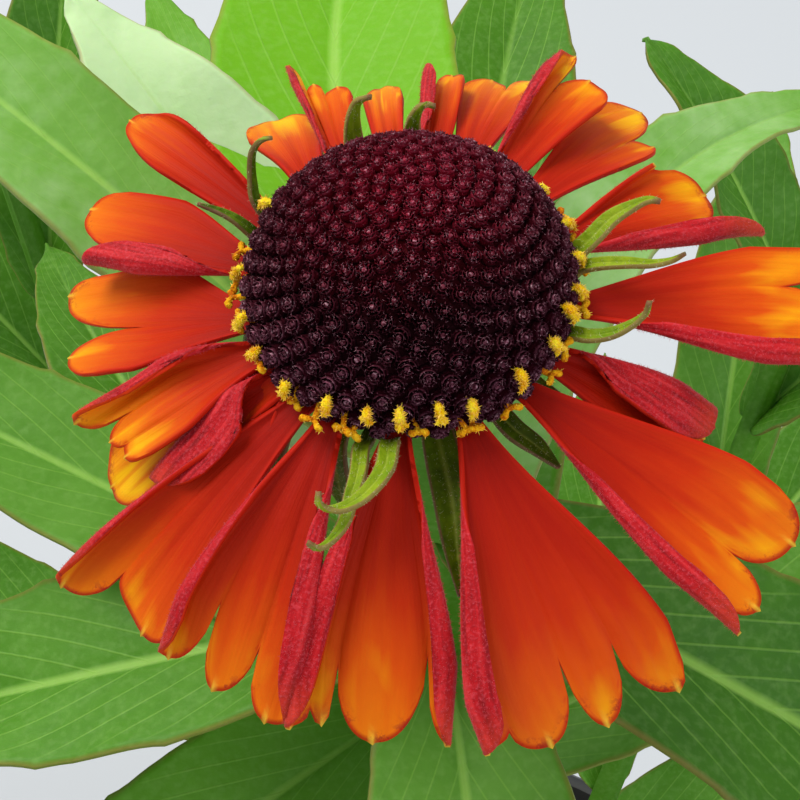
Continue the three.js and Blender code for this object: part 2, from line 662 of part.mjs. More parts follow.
function openFlorets() {
  const parts = [ringSolid(OPEN_BAND, 16)];
  const random = seededRandom(7);
  const middle = (OPEN_BAND.bottom + OPEN_BAND.top) / 2;
  for (const azimuth of STYLES) {
    const a = degrees(azimuth);
    const reach = 1 + random() * 0.6;
    const out = new THREE.Vector3(Math.cos(a), Math.sin(a), 0);
    const side = new THREE.Vector3(-Math.sin(a), Math.cos(a), 0);
    const swing = (random() - 0.5) * 0.9;
    const point = (r, z, s) => out.clone().multiplyScalar(r).addScaledVector(side, s).setZ(z);
    const curve = new THREE.CatmullRomCurve3([
      point(OPEN_BAND.outer - 0.7, middle, 0),
      point(OPEN_BAND.outer + reach * 0.6, middle + 0.3, swing * 0.4),
      point(OPEN_BAND.outer + reach, middle - 0.1, swing),
    ]);
    parts.push(solidOf(rodGeometry(curve, 2, roundOutline(3), (u) => 0.36 + 0.12 * u)));
  }
  return joined(parts).subtract(joined(BRACTS.map((bract) => bractSolid(bract, CLEARANCE))));
}

// Bracts: narrow green leaves under the bloom. Most hang; the others come up between the rays.
// Each goes through places given as [azimuth, radius, height].
const RISEN_BRACTS = [
  {
    width: 2,
    through: [[3, 8, -2.6], [4, 10.6, -1.6], [9, 11.6, 0.9], [12.5, 13.4, 2.2], [13.7, 15.7, 3.2]],
  },
  {
    width: 1,
    through: [[-1, 8, -2.6], [-1, 11, -2.2], [1, 12.6, 1.2], [1.5, 14.6, 1.9], [1.7, 16.6, 2]],
  },
  {
    width: 1,
    through: [[-22, 8, -2.6], [-22, 10.6, -1.6], [-20, 12.4, 1.3], [-17, 14.2, 2], [-14, 14.8, 3.5]],
  },
  {
    width: 1.5,
    through: [[-98, 8, -2.6], [-98, 10.4, -1.7], [-98, 11.8, 1], [-102, 15, 2], [-107, 15.8, 3]],
  },
  {
    width: 1.5,
    through: [[-106, 8, -2.6], [-106, 10.4, -1.9], [-104, 12.4, 1], [-102, 16, 1.9], [-106, 18.6, 2.2]],
  },
  {
    width: 1,
    through: [[157, 8, -2.6], [157, 10.2, -1.6], [157, 11.2, 0.8], [157, 12.4, 2], [158, 13.7, 2.5]],
  },
  {
    width: 1,
    through: [[143, 8, -2.6], [143, 10.6, -1.6], [142, 11.8, 0.9], [140, 12.6, 3.6], [135, 11.7, 5]],
  },
  {
    width: 1.5,
    through: [[108, 8, -2.6], [108, 10.6, -1.6], [107, 11.6, 1], [105, 12.1, 4], [101, 12, 5]],
  },
  {
    width: 1,
    through: [[92, 8, -2.6], [92, 10, -1.6], [91, 10.8, 1], [87, 11, 3.6], [81, 10.6, 4.8]],
  },
  {
    width: 2,
    through: [[-82, 8, -2.6], [-82, 10, -3.2], [-82.5, 14, -3.6], [-82, 18, -5.4]],
  },
  {
    width: 1.8,
    through: [[-54, 8, -2.6], [-53, 10, -3.2], [-48, 11.6, -3.8], [-46, 13, -4.8]],
  },
];
const HANGING_BRACTS = [-68, -36, 26, 48, 70, 122, 174, 196, 218, 240].map((azimuth, i) => ({
  width: 1.8,
  through: [
    [azimuth, 8, -2.6],
    [azimuth, 9.4, -3.6],
    [azimuth + 4, 10.6 + (i % 3) * 0.5, -6],
    [azimuth + 7, 11.4 + (i % 3), -8.5],
  ],
}));
const BRACTS = [...RISEN_BRACTS, ...HANGING_BRACTS];

function bractSolid({ width, through }, margin = 0) {
  const curve = new THREE.CatmullRomCurve3(
    through.map(([azimuth, radius, height]) => {
      const a = degrees(azimuth);
      return new THREE.Vector3(radius * Math.cos(a), radius * Math.sin(a), height);
    }),
  );
  const surface = (share, v) => {
    const u = Math.max(0, Math.min(1, share));
    const point = curve.getPoint(u);
    const along = curve.getTangent(u);
    const side = new THREE.Vector3(-point.y, point.x, 0).normalize();
    side.addScaledVector(along, -side.dot(along)).normalize();
    const up = along.clone().cross(side);
    const half = (width / 2) * (1 - 0.75 * u ** 2.4) + margin;
    return point.addScaledVector(side, v * half).addScaledVector(up, 0.2 * Math.abs(v) * half);
  };
  const rows = through.map((_, i) => i / (through.length - 1));
  return solidOf(bladeGeometry(surface, rows, [-1, 1], BRACT_THICKNESS + 2 * margin));
}

// Involucre: the stem's swollen top, the green seat of the florets and the bracts round it
function involucre() {
  const seat = lathe(
    [
      [0, -NECK_DEPTH],
      [STEM_RADIUS, -NECK_DEPTH],
      [3.6, -NECK_DEPTH + 2.6],
      [RECEPTACLE_RADIUS, RECEPTACLE_TOP - 1.4],
      [RECEPTACLE_RADIUS, RECEPTACLE_TOP],
      [RAY_BAND.inner - 0.4, RECEPTACLE_TOP],
      [RAY_BAND.inner - 0.6, OPEN_BAND.top],
      [0, OPEN_BAND.top],
    ],
    18,
  );
  return joined([seat, ...BRACTS.map((bract) => bractSolid(bract))]);
}

const material = (color, roughness) => new THREE.MeshStandardMaterial({ color, roughness, metalness: 0 });
const MATERIALS = {
  potPlastic: material(0x24282a, 0.55),
  mix: material(0x3a2a1e, 1),
  leafGreen: material(0x5f9a35, 0.6),
  bractGreen: material(0x86a832, 0.6),
  rayOrange: material(0xd8401a, 0.55),
  styleYellow: material(0xf2b90c, 0.6),
  discMaroon: material(0x2e0a14, 0.7),
};

function named(name, solid, finish) {
  const mesh = new THREE.Mesh(geometryOf(solid), finish);
  mesh.name = name;
  return mesh;
}

const bloomGroup = new THREE.Group();
bloomGroup.position.copy(BLOOM_AT);
bloomGroup.rotation.set(degrees(BLOOM_LEAN_FRONT), degrees(-BLOOM_LEAN_LEFT), 0);
bloomGroup.updateMatrixWorld(true);

const plant = new THREE.Group();
plant.add(bloomGroup);

const feet = SIDE_SHOOTS.map((shoot) => {
  const curve = shootPath(shoot);
  const share = (STEM_HOLE_DEPTH - 2) / (shoot.height + STEM_HOLE_DEPTH - 2);
  const radius = STEM_RADIUS * STEM_WING + CLEARANCE;
  return { foot: curve.getPointAt(share), lean: curve.getTangentAt(share / 2), radius };
});
feet.push({
  foot: new THREE.Vector3(0.2, 0.2, MIX_TOP),
  lean: new THREE.Vector3(0, 0, 1),
  radius: STEM_RADIUS * MAIN_STEM_SCALE * STEM_WING + 2 * CLEARANCE,
});

plant.add(named("pot", pot(), MATERIALS.potPlastic));
plant.add(named("potting_mix", pottingMix(feet), MATERIALS.mix));
plant.add(named("flowering_stem", floweringStem(), MATERIALS.leafGreen));
for (const shoot of SIDE_SHOOTS) plant.add(named(shoot.name, sideShoot(shoot), MATERIALS.leafGreen));
bloomGroup.add(named("involucre", involucre(), MATERIALS.bractGreen));
bloomGroup.add(named("ray_florets", rayFlorets(), MATERIALS.rayOrange));
bloomGroup.add(named("open_florets", openFlorets(), MATERIALS.styleYellow));
bloomGroup.add(named("disc_florets", discFlorets(), MATERIALS.discMaroon));

export default plant;
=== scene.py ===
# %% [markdown]
# # A potted sneezeweed
# One orange-red bloom on a leafy stem, in a plain nursery pot. The solid model gives every size and
# place. This script puts the fine surfaces over it: thin petals with lobed tips and rolled edges, a dome
# of small buds, hairy green bracts, veined leaves, damp potting mix and moulded plastic.
# Everything is in metres, with +Z up and the origin under the middle of the pot. Shapes are worked out in
# millimetres and scaled once, when their vertices are written.

import math

import bpy
import numpy as np
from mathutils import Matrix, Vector


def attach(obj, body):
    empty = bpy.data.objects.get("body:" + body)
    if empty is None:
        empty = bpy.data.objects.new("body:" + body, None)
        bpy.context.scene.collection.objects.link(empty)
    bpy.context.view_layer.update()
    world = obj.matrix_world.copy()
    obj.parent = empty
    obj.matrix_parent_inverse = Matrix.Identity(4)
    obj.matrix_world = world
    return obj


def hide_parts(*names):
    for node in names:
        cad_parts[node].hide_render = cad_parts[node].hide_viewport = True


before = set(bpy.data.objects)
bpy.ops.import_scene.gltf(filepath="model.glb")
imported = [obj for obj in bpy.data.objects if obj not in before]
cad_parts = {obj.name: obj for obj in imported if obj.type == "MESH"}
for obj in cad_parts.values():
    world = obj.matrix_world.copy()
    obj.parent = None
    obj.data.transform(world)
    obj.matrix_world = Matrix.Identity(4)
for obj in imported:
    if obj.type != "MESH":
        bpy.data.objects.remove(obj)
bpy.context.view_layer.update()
MM = 0.001

# %% [markdown]
# ## Camera
# The photograph looks down on the bloom from close by, so near petals look much larger than far ones.
# Only a camera at the true distance gives that, and the lens then follows from the width of the view.
# The bloom stands above the middle of the picture, so the camera aims a little below it.

# %% Camera
BLOOM_AT = np.array([0.0, -2.0, 385.0])
CAMERA_DISTANCE = 110.0
CAMERA_ELEVATION = math.radians(52)
VIEW_WIDTH = 48.5
SENSOR_WIDTH = 36.0
NEAREST_SEEN = 5.0
AIM_OFFSET = np.array([-0.55, -5.2, -4.1])

camera_back = np.array([0.0, -math.cos(CAMERA_ELEVATION), math.sin(CAMERA_ELEVATION)])
camera_at = Vector((BLOOM_AT + CAMERA_DISTANCE * camera_back) * MM)
aim_at = Vector((BLOOM_AT + AIM_OFFSET) * MM)

bpy.ops.object.select_all(action="DESELECT")
bpy.ops.object.camera_add(location=camera_at)
camera = bpy.context.object
camera.name = "camera"
camera.rotation_euler = (aim_at - camera_at).to_track_quat("-Z", "Y").to_euler()
camera.data.sensor_width = SENSOR_WIDTH
camera.data.lens = SENSOR_WIDTH * CAMERA_DISTANCE / VIEW_WIDTH
camera.data.clip_start = NEAREST_SEEN * MM
bpy.context.scene.camera = camera
print("lens", round(camera.data.lens, 1), "mm")

# %% [markdown]
# ## Floor and light
# A pale floor and an even pale sky stand in for a light tent. One big lamp high on the left gives the
# soft gloss of a bright overcast day, and a weak one on the right opens the shadows.

# %% Floor and light
FLOOR_SIZE = 6.0
FLOOR_COLOUR = (0.62, 0.64, 0.66, 1.0)
SKY_COLOUR = (0.9, 0.95, 1.0, 1.0)
SKY_STRENGTH = 0.62
LAMPS = [
    dict(name="key_lamp", place=(-0.55, 0.45, 1.25), size=0.7, power=13, colour=(1.0, 0.97, 0.92)),
    dict(name="fill_lamp", place=(0.8, -0.7, 0.9), size=0.9, power=5, colour=(0.92, 0.96, 1.0)),
]

bpy.ops.mesh.primitive_plane_add(size=FLOOR_SIZE)
floor = bpy.context.object
floor.name = "floor"
floor_paint = bpy.data.materials.new("floor_paint")
floor_paint.use_nodes = True
floor_shader = floor_paint.node_tree.nodes["Principled BSDF"]
floor_shader.inputs["Base Color"].default_value = FLOOR_COLOUR
floor_shader.inputs["Roughness"].default_value = 0.9
floor.data.materials.append(floor_paint)

world = bpy.data.worlds.new("pale_sky")
bpy.context.scene.world = world
world.use_nodes = True
world.node_tree.nodes["Background"].inputs["Color"].default_value = SKY_COLOUR
world.node_tree.nodes["Background"].inputs["Strength"].default_value = SKY_STRENGTH
bpy.context.scene.view_settings.view_transform = "Standard"

for settings in LAMPS:
    bpy.ops.object.light_add(type="AREA", location=settings["place"])
    lamp = bpy.context.object
    lamp.name = settings["name"]
    towards_bloom = Vector(BLOOM_AT * MM) - Vector(settings["place"])
    lamp.rotation_euler = towards_bloom.to_track_quat("-Z", "Y").to_euler()
    lamp.data.size = settings["size"]
    lamp.data.energy = settings["power"]
    lamp.data.color = settings["colour"]
print("floor and", len(LAMPS), "lamps")

# %% [markdown]
# ## Tools for materials
# Every material here is a Principled shader fed by noise and by coordinates that follow the surface.
# Small helpers keep that readable. plug sets a node's inputs, and the others each add one kind of node and
# hand back its output, so that a material reads like a sum.

# %% Material helpers


def srgb(red, green, blue):
    """A colour as picked in a paint program, 0 to 255, turned into the linear values of the shader"""
    def linear(value):
        share = value / 255
        return share / 12.92 if share <= 0.04045 else ((share + 0.055) / 1.055) ** 2.4
    return (linear(red), linear(green), linear(blue), 1.0)


def plug(tree, node, inputs):
    """Sets inputs, given by name or number, each to a plain value or to another node's output"""
    for name, value in inputs.items():
        if isinstance(value, bpy.types.NodeSocket):
            tree.links.new(value, node.inputs[name])
        else:
            node.inputs[name].default_value = value


def add_node(tree, kind, inputs=None, **settings):
    node = tree.nodes.new(kind)
    for name, value in settings.items():
        setattr(node, name, value)
    plug(tree, node, inputs or {})
    return node


def add_ramp(tree, factor, stops):
    node = add_node(tree, "ShaderNodeValToRGB", {"Fac": factor})
    ramp = node.color_ramp
    while len(ramp.elements) < len(stops):
        ramp.elements.new(0.5)
    for element, (place, colour) in zip(ramp.elements, stops):
        element.position = place
        element.color = colour
    return node.outputs["Color"]


def add_range(tree, value, low, high, to_low=0.0, to_high=1.0):
    """Stretches the values between low and high to 0 and 1, or to the two ends given"""
    inputs = {"Value": value, "From Min": low, "From Max": high, "To Min": to_low, "To Max": to_high}
    return add_node(tree, "ShaderNodeMapRange", inputs).outputs["Result"]


def add_math(tree, operation, first, second=0.0):
    return add_node(tree, "ShaderNodeMath", {0: first, 1: second}, operation=operation).outputs["Value"]


def add_product(tree, *values):
    result = values[0]
    for value in values[1:]:
        result = add_math(tree, "MULTIPLY", result, value)
    return result


def add_mix(tree, factor, first, second):
    """Mixes two colours, which are a Mix node's inputs 6 and 7"""
    return add_node(tree, "ShaderNodeMix", {0: factor, 6: first, 7: second}, data_type="RGBA").outputs[2]


def add_noise(tree, place, scale, detail):
    inputs = {"Vector": place, "Scale": scale, "Detail": detail}
    return add_node(tree, "ShaderNodeTexNoise", inputs).outputs["Fac"]


def object_place(tree):
    return add_node(tree, "ShaderNodeTexCoord").outputs["Object"]


def add_value(tree, name):
    """The number that each vertex carries under this name"""
    return add_node(tree, "ShaderNodeAttribute", attribute_name=name).outputs["Fac"]


def new_material(name):
    material = bpy.data.materials.new(name)
    material.use_nodes = True
    tree = material.node_tree
    return material, tree, tree.nodes["Principled BSDF"]


def paint(piece, *materials):
    piece.data.materials.clear()
    for material in materials:
        piece.data.materials.append(material)


# %% [markdown]
# ## Shared effects
# Living tissue is never one even colour. The mottle group gives a soft mask of two sizes of noise, in
# object space, and the fine relief group turns such noise into a bumped normal. A group is built once, and
# each material places it with its own scale and strength.

# %% Mottle and fine relief groups
RELIEF_DEPTH = 0.2


def new_group(name, inputs, output):
    """A node group with these numbers as inputs and one output, given by its name and kind"""
    group = bpy.data.node_groups.new(name, "ShaderNodeTree")
    for input_name in inputs:
        group.interface.new_socket(input_name, in_out="INPUT", socket_type="NodeSocketFloat")
    group.interface.new_socket(output[0], in_out="OUTPUT", socket_type=output[1])
    start = group.nodes.new("NodeGroupInput")
    end = group.nodes.new("NodeGroupOutput")
    return group, start.outputs, end.inputs


def make_mottle():
    group, given, result = new_group("mottle", ["Scale", "Contrast"], ("Mask", "NodeSocketFloat"))
    place = object_place(group)
    coarse = add_noise(group, place, given["Scale"], 3.0)
    fine = add_noise(group, place, add_product(group, given["Scale"], 6.0), 2.0)
    both = add_math(group, "ADD", coarse, add_product(group, fine, 0.5))
    centred = add_math(group, "SUBTRACT", both, 0.75)
    mask = add_math(group, "ADD", add_product(group, centred, given["Contrast"]), 0.5)
    group.links.new(add_range(group, mask, 0.0, 1.0), result["Mask"])
    return group


def make_fine_relief():
    names = ["Scale", "Strength", "Height"]
    group, given, result = new_group("fine_relief", names, ("Normal", "NodeSocketVector"))
    noise = add_noise(group, object_place(group), given["Scale"], 3.0)
    height = add_math(group, "ADD", noise, given["Height"])
    inputs = {"Height": height, "Strength": given["Strength"], "Distance": RELIEF_DEPTH * MM}
    group.links.new(add_node(group, "ShaderNodeBump", inputs).outputs["Normal"], result["Normal"])
    return group


MOTTLE = make_mottle()
FINE_RELIEF = make_fine_relief()


def add_mottle(tree, scale, contrast):
    inputs = {"Scale": scale, "Contrast": contrast}
    return add_node(tree, "ShaderNodeGroup", inputs, node_tree=MOTTLE).outputs["Mask"]


def add_relief(tree, scale, strength, height=0.0):
    inputs = {"Scale": scale, "Strength": strength, "Height": height}
    return add_node(tree, "ShaderNodeGroup", inputs, node_tree=FINE_RELIEF).outputs["Normal"]


print("groups", MOTTLE.name, FINE_RELIEF.name)

# %% [markdown]
# ## Tools for shapes
# Leaves, petals and bracts are all thin strips that bend. Each starts as a flat grid, so it gets its UV
# map for free, and its vertices are then moved by a formula. The grid's length runs from root to tip and
# its width from the right edge to the left one.

# %% Strips from grids
UP = np.array([0.0, 0.0, 1.0])


def deselect():
    bpy.ops.object.select_all(action="DESELECT")


def activate(piece):
    """Selects a piece alone and makes it the active one, which operators act on"""
    deselect()
    piece.select_set(True)
    bpy.context.view_layer.objects.active = piece


def read_places(piece):
    places = np.empty(len(piece.data.vertices) * 3)
    piece.data.vertices.foreach_get("co", places)
    return places.reshape(-1, 3)


def flat_strip(name, along, across):
    """A grid and, for each of its vertices, its share of the length and its place across, -1 to 1"""
    deselect()
    bpy.ops.mesh.primitive_grid_add(x_subdivisions=along, y_subdivisions=across, size=1.0)
    strip = bpy.context.object
    strip.name = name
    places = read_places(strip)
    return strip, places[:, 0] + 0.5, places[:, 1] * 2


def set_places(piece, places):
    """Writes places given in millimetres"""
    piece.data.vertices.foreach_set("co", (places * MM).ravel())
    piece.data.update()


def set_tone(piece, name, value):
    """A number on every vertex, which a material reads by its name"""
    layer = piece.data.attributes.new(name, "FLOAT", "POINT")
    values = np.broadcast_to(np.asarray(value, float), len(piece.data.vertices))
    layer.data.foreach_set("value", np.ascontiguousarray(values))


def read_tone(piece, name):
    values = np.empty(len(piece.data.vertices))
    piece.data.attributes[name].data.foreach_get("value", values)
    return values


def new_piece(name, places, faces, edges=()):
    """A mesh object from places given in metres"""
    mesh = bpy.data.meshes.new(name)
    mesh.from_pydata(places.tolist(), edges, faces)
    piece = bpy.data.objects.new(name, mesh)
    bpy.context.collection.objects.link(piece)
    return piece


def join_pieces(pieces, name):
    deselect()
    for piece in pieces:
        piece.select_set(True)
    bpy.context.view_layer.objects.active = pieces[0]
    if len(pieces) > 1:
        bpy.ops.object.join()
    whole = bpy.context.object
    whole.name = name
    whole.data.name = name
    return whole


def apply_modifier(piece, kind, **settings):
    activate(piece)
    modifier = piece.modifiers.new(kind.lower(), kind)
    for name, value in settings.items():
        setattr(modifier, name, value)
    bpy.ops.object.modifier_apply(modifier=modifier.name)


def shade_smooth(piece):
    activate(piece)
    bpy.ops.object.shade_smooth()


# %% [markdown]
# ## Bending paths
# A leaf leaves its stem at an angle and then sinks under its own weight. Its middle line is followed in
# small steps, each turned a little from the last. Stems, bracts and styles go through a few chosen points
# instead, on a smooth curve that passes through all of them.

# %% Bending paths
PATH_STEPS = 24
PATH_END = 1.2


def bent_path(start, azimuth, rise, droop, length, bend=0.0, lead=0.0):
    """A function from shares of the length, up to PATH_END, to points, upward and sideways directions.
    Angles are in degrees, and lead is a level run before the start."""
    lead_share = lead / (length + lead)

    def directions(share):
        pitch = np.radians(np.where(share < lead_share, 0.0, rise - droop * share))[..., None]
        yaw = np.radians(azimuth + bend * share)
        out = np.stack([np.cos(yaw), np.sin(yaw), 0 * yaw], -1)
        side = np.stack([-np.sin(yaw), np.cos(yaw), 0 * yaw], -1)
        return out * np.cos(pitch) + UP * np.sin(pitch), UP * np.cos(pitch) - out * np.sin(pitch), side

    first = directions(np.zeros(1))[0][0]
    middles = (np.arange(round(PATH_STEPS * PATH_END)) + 0.5) / PATH_STEPS
    moves = directions(middles)[0] * (length + lead) / PATH_STEPS
    stops = np.vstack([np.zeros(3), np.cumsum(moves, axis=0)]) + start - first * lead
    marks = np.arange(len(stops)) / PATH_STEPS

    def at(share):
        share = np.clip(share, 0.0, marks[-1])
        point = np.stack([np.interp(share, marks, stops[:, k]) for k in range(3)], -1)
        _, up, side = directions(share)
        return point, up, side

    return at


def smooth_curve(points, count):
    """Evenly spaced points on a smooth curve through the given ones, its directions and its length"""
    points = np.asarray(points, float)
    before = points[:1] * 2 - points[1:2]
    after = points[-1:] * 2 - points[-2:-1]
    knots = np.vstack([before, points, after])
    times = np.concatenate([[0], np.cumsum(np.linalg.norm(np.diff(knots, axis=0), axis=1) ** 0.5)])
    dense = []
    for i in range(1, len(knots) - 2):
        t = np.linspace(times[i], times[i + 1], 24, endpoint=i == len(knots) - 3)[:, None]
        t0, t1, t2, t3 = times[i - 1 : i + 3]
        p0, p1, p2, p3 = knots[i - 1 : i + 3]
        a1 = (t1 - t) / (t1 - t0) * p0 + (t - t0) / (t1 - t0) * p1
        a2 = (t2 - t) / (t2 - t1) * p1 + (t - t1) / (t2 - t1) * p2
        a3 = (t3 - t) / (t3 - t2) * p2 + (t - t2) / (t3 - t2) * p3
        b1 = (t2 - t) / (t2 - t0) * a1 + (t - t0) / (t2 - t0) * a2
        b2 = (t3 - t) / (t3 - t1) * a2 + (t - t1) / (t3 - t1) * a3
        dense.append((t2 - t) / (t2 - t1) * b1 + (t - t1) / (t2 - t1) * b2)
    dense = np.vstack(dense)
    run = np.concatenate([[0], np.cumsum(np.linalg.norm(np.diff(dense, axis=0), axis=1))])
    marks = np.linspace(0, run[-1], count)
    even = np.stack([np.interp(marks, run, dense[:, k]) for k in range(3)], -1)
    along = np.gradient(even, axis=0)
    along /= np.linalg.norm(along, axis=1)[:, None]
    return even, along, run[-1]


def sample(values, share):
    """Values along a curve, read between its evenly spaced points"""
    marks = np.linspace(0, 1, len(values))
    return np.stack([np.interp(share, marks, values[:, k]) for k in range(values.shape[1])], -1)


def polar(azimuth, radius, height):
    angle = math.radians(azimuth)
    return np.array([radius * math.cos(angle), radius * math.sin(angle), height])


# %% [markdown]
# ## The bloom's own frame
# The flower head leans 5 degrees towards the camera and 4 degrees to the left. Its parts are shaped
# upright round the origin, as the solid model's are, and one turn and one move then seat them on the stem.

# %% Bloom frame
LEAN_LEFT = math.radians(4)
LEAN_FRONT = math.radians(5)


def turn_matrix():
    c, s = math.cos(LEAN_FRONT), math.sin(LEAN_FRONT)
    forward = np.array([[1, 0, 0], [0, c, -s], [0, s, c]])
    c, s = math.cos(-LEAN_LEFT), math.sin(-LEAN_LEFT)
    sideways = np.array([[c, 0, s], [0, 1, 0], [-s, 0, c]])
    return forward @ sideways


BLOOM_TURN = turn_matrix()


def on_bloom(places):
    return places @ BLOOM_TURN.T + BLOOM_AT


def seat_on_bloom(piece):
    set_places(piece, on_bloom(read_places(piece) / MM))


# %% [markdown]
# ## Petals
# The orange petals are ray florets: narrow at the root, widest near the tip, and ending in rounded lobes.
# Most fold one margin over on top, which shows the crimson hairy underside as a band. Each is a grid. Its
# columns end at different lengths, which makes the lobes, and the columns past the fold follow a half
# circle and then lie back over the petal. Solidify gives the sheet its thickness and puts the underside
# in a second material.

# %% Table of petals
RAYS = [
    dict(at=-94, turn=-3.6, length=17.9, width=9.4, rise=-13, droop=25, right=0.55, left=0.38, tone=0.3,
         outline=[(-1.55, 0.6), (-1.02, 0.97), (-0.76, 0.92), (-0.6, 0.96), (-0.45, 0.78), (0.05, 1),
                  (0.66, 0.72), (1, 0.97), (1.38, 0.7)]),
    dict(at=-69, turn=1.6, length=19.4, width=12.6, rise=-12, droop=25, right=0.36, belly=0.76, tone=0.15,
         outline=[(-1.36, 0.8), (-1, 0.92), (-0.72, 0.9), (-0.4, 0.98), (-0.06, 0.77), (0.16, 0.99),
                  (0.45, 0.78), (0.88, 0.97), (1, 0.9)]),
    dict(at=-46, turn=10.5, length=17.9, width=8.8, rise=-5, droop=20, right=0.38, tone=0.2,
         outline=[(-1.38, 0.8), (-1, 1), (-0.78, 0.92), (-0.5, 1.02), (-0.1, 0.86), (0.55, 1), (1, 0.86)]),
    dict(at=-30, turn=9.5, length=11, width=5.2, rise=-19, droop=20, left=1.7, tone=0.1,
         outline=[(-1, 0.9), (0.3, 1), (1, 0.95), (1.8, 0.97), (2.7, 0.6)]),
    dict(at=-8, turn=9.8, length=15.8, width=8.4, rise=2, droop=15, right=0.42, tone=0.35,
         outline=[(-1.42, 0.9), (-1, 1.05), (-0.75, 0.95), (-0.2, 1), (0.36, 0.85), (0.9, 1), (1, 0.94)]),
    dict(at=19, turn=9.5, length=12.2, width=6.5, rise=-5, droop=25, right=0.6, left=0.25, tone=0.3,
         outline=[(-1.6, 0.4), (-0.95, 1.12), (-0.5, 0.8), (0.3, 1), (1, 0.8), (1.15, 0.75), (1.25, 0.6)]),
    dict(at=42, turn=11, length=17.2, width=6.4, rise=-12, droop=28, tone=0.6,
         outline=[(-1, 0.5), (-0.7, 0.74), (-0.24, 0.68), (0.4, 1), (1, 0.8)]),
    dict(at=56, turn=3.4, length=14.4, width=5, rise=0, droop=25, left=0.7, tone=0.6,
         outline=[(-1, 0.7), (-0.1, 0.86), (0.5, 0.7), (0.75, 1), (1.7, 0.4)]),
    dict(at=70, turn=7.8, length=17.2, width=5.4, rise=-14, droop=30, tone=0.7,
         outline=[(-1, 0.9), (-0.5, 1), (-0.1, 0.8), (0.4, 0.9), (1, 0.66)]),
    dict(at=82, turn=3.9, length=11.7, width=2.6, rise=-4, droop=30, left=1.2, tone=0.5,
         outline=[(-1, 0.9), (-0.2, 1), (0.5, 0.84), (1, 0.95), (2.2, 0.6)]),
    dict(at=97, turn=-0.4, length=13.7, width=2.7, rise=-12, droop=30, tone=0.8,
         outline=[(-1, 0.7), (-0.5, 1), (1, 0.7)]),
    dict(at=114, turn=-11, length=15.2, width=3.8, rise=-4, droop=30, left=0.5, tone=0.85,
         outline=[(-1, 0.6), (-0.5, 0.7), (0, 0.68), (0.3, 0.78), (0.6, 0.7), (1, 1.04), (1.5, 0.5)]),
    dict(at=128, turn=-19.9, length=17.3, width=5.2, rise=-18, droop=28, tone=0.8,
         outline=[(-1, 0.6), (0.1, 1), (1, 0.72)]),
    dict(at=149, turn=-13, length=15.1, width=3.8, rise=2, droop=15, right=0.3, tone=0.05,
         outline=[(-1.3, 0.6), (-0.15, 1), (1, 0.5)]),
    dict(at=166, turn=-13.6, length=15.1, width=6.2, rise=-6, droop=20, left=0.75, belly=0.5, tone=0.2,
         outline=[(-1, 0.85), (-0.5, 1.02), (0.45, 0.7), (0.8, 0.82), (1.75, 0.5)]),
    dict(at=188, turn=-22.5, length=14.5, width=8, rise=-14, droop=18, belly=0.5, tone=0.4,
         outline=[(-1, 0.98), (-0.7, 1.1), (0.1, 0.6), (0.6, 0.94), (1, 0.74)]),
    dict(at=203, turn=-0.8, length=11.7, width=4.8, rise=-5, droop=25, right=0.6, belly=0.5, tone=0.6,
         outline=[(-1.6, 0.5), (-1, 1.06), (-0.4, 0.8), (0, 0.95), (0.35, 0.88), (0.7, 0.9), (1, 0.78)]),
    dict(at=209, turn=-10.5, length=14.2, width=5.4, rise=-24, droop=20, tone=0.8,
         outline=[(-1, 0.8), (0, 1), (1, 0.8)]),
    dict(at=219, turn=-18.4, length=13.6, width=3.6, rise=-26, droop=20, tone=1.0,
         outline=[(-1, 0.8), (-0.4, 1), (1, 0.8)]),
    dict(at=217, turn=4.4, length=9.8, width=4.8, rise=-19, droop=20, right=1.6, belly=0.4, tone=0.1,
         outline=[(-2.6, 0.6), (-1, 0.98), (0, 0.98), (0.4, 1), (1, 0.8)]),
    dict(at=229, turn=-9.5, length=18.4, width=9.2, rise=-15, droop=26, right=0.3, belly=1, tone=0.2,
         outline=[(-1.3, 0.75), (-0.95, 1.04), (-0.35, 0.85), (0.5, 0.93), (1, 0.8)]),
    dict(at=242, turn=2, length=17.8, width=8.6, rise=-11, droop=28, right=0.35, left=0.5, tone=0.2,
         outline=[(-1.35, 0.8), (-0.9, 0.94), (-0.48, 0.72), (-0.17, 0.98), (0.27, 0.8), (0.7, 1),
                  (1.5, 0.6)]),
]

# %% [markdown]
# ## Shape of a petal
# An outline lists, from the right edge to the left one, the edges, tips and notches of the lobes by turns.
# Each is a place across, where 1 and -1 are the sides, and a reach, as a share of the length. left and
# right are the folded margins, as shares of the half width.

# %% Petal shape
RAY_CIRCLE = 9.6
RAY_LEVEL = -0.6
RAY_ROOT = 1.6
RAY_CLAW = 0.75
RAY_CUP = 0.1
RAY_BELLY = 0.72
FOLD_RADIUS = 0.5
FOLD_LIFT = 0.12
LOBE_ROUNDNESS = 2.2


def reach_at(across, outline):
    """How far along the petal its tip reaches: a rounded arc on each side of every lobe's tip"""
    reach = np.ones(len(across))
    for i in range(1, len(outline), 2):
        (start, low), (tip, high), (end, next_low) = outline[i - 1 : i + 2]
        below = across < tip
        t = np.where(below, (tip - across) / (tip - start), (across - tip) / (end - tip))
        base = np.where(below, low, next_low)
        arc = base + (high - base) * np.sqrt(np.clip(1 - np.clip(t, 0, 1) ** LOBE_ROUNDNESS, 0, 1))
        reach = np.where((across >= start) & (across <= end), arc, reach)
    return reach


def ray_half_width(share, width, belly):
    """Grows from the narrow claw at the root to half the width at the belly, a share of the length"""
    t = np.clip(share / belly, 0, 1)
    return RAY_CLAW + (width / 2 - RAY_CLAW) * (0.65 * t + 0.35 * t * t * (3 - 2 * t))


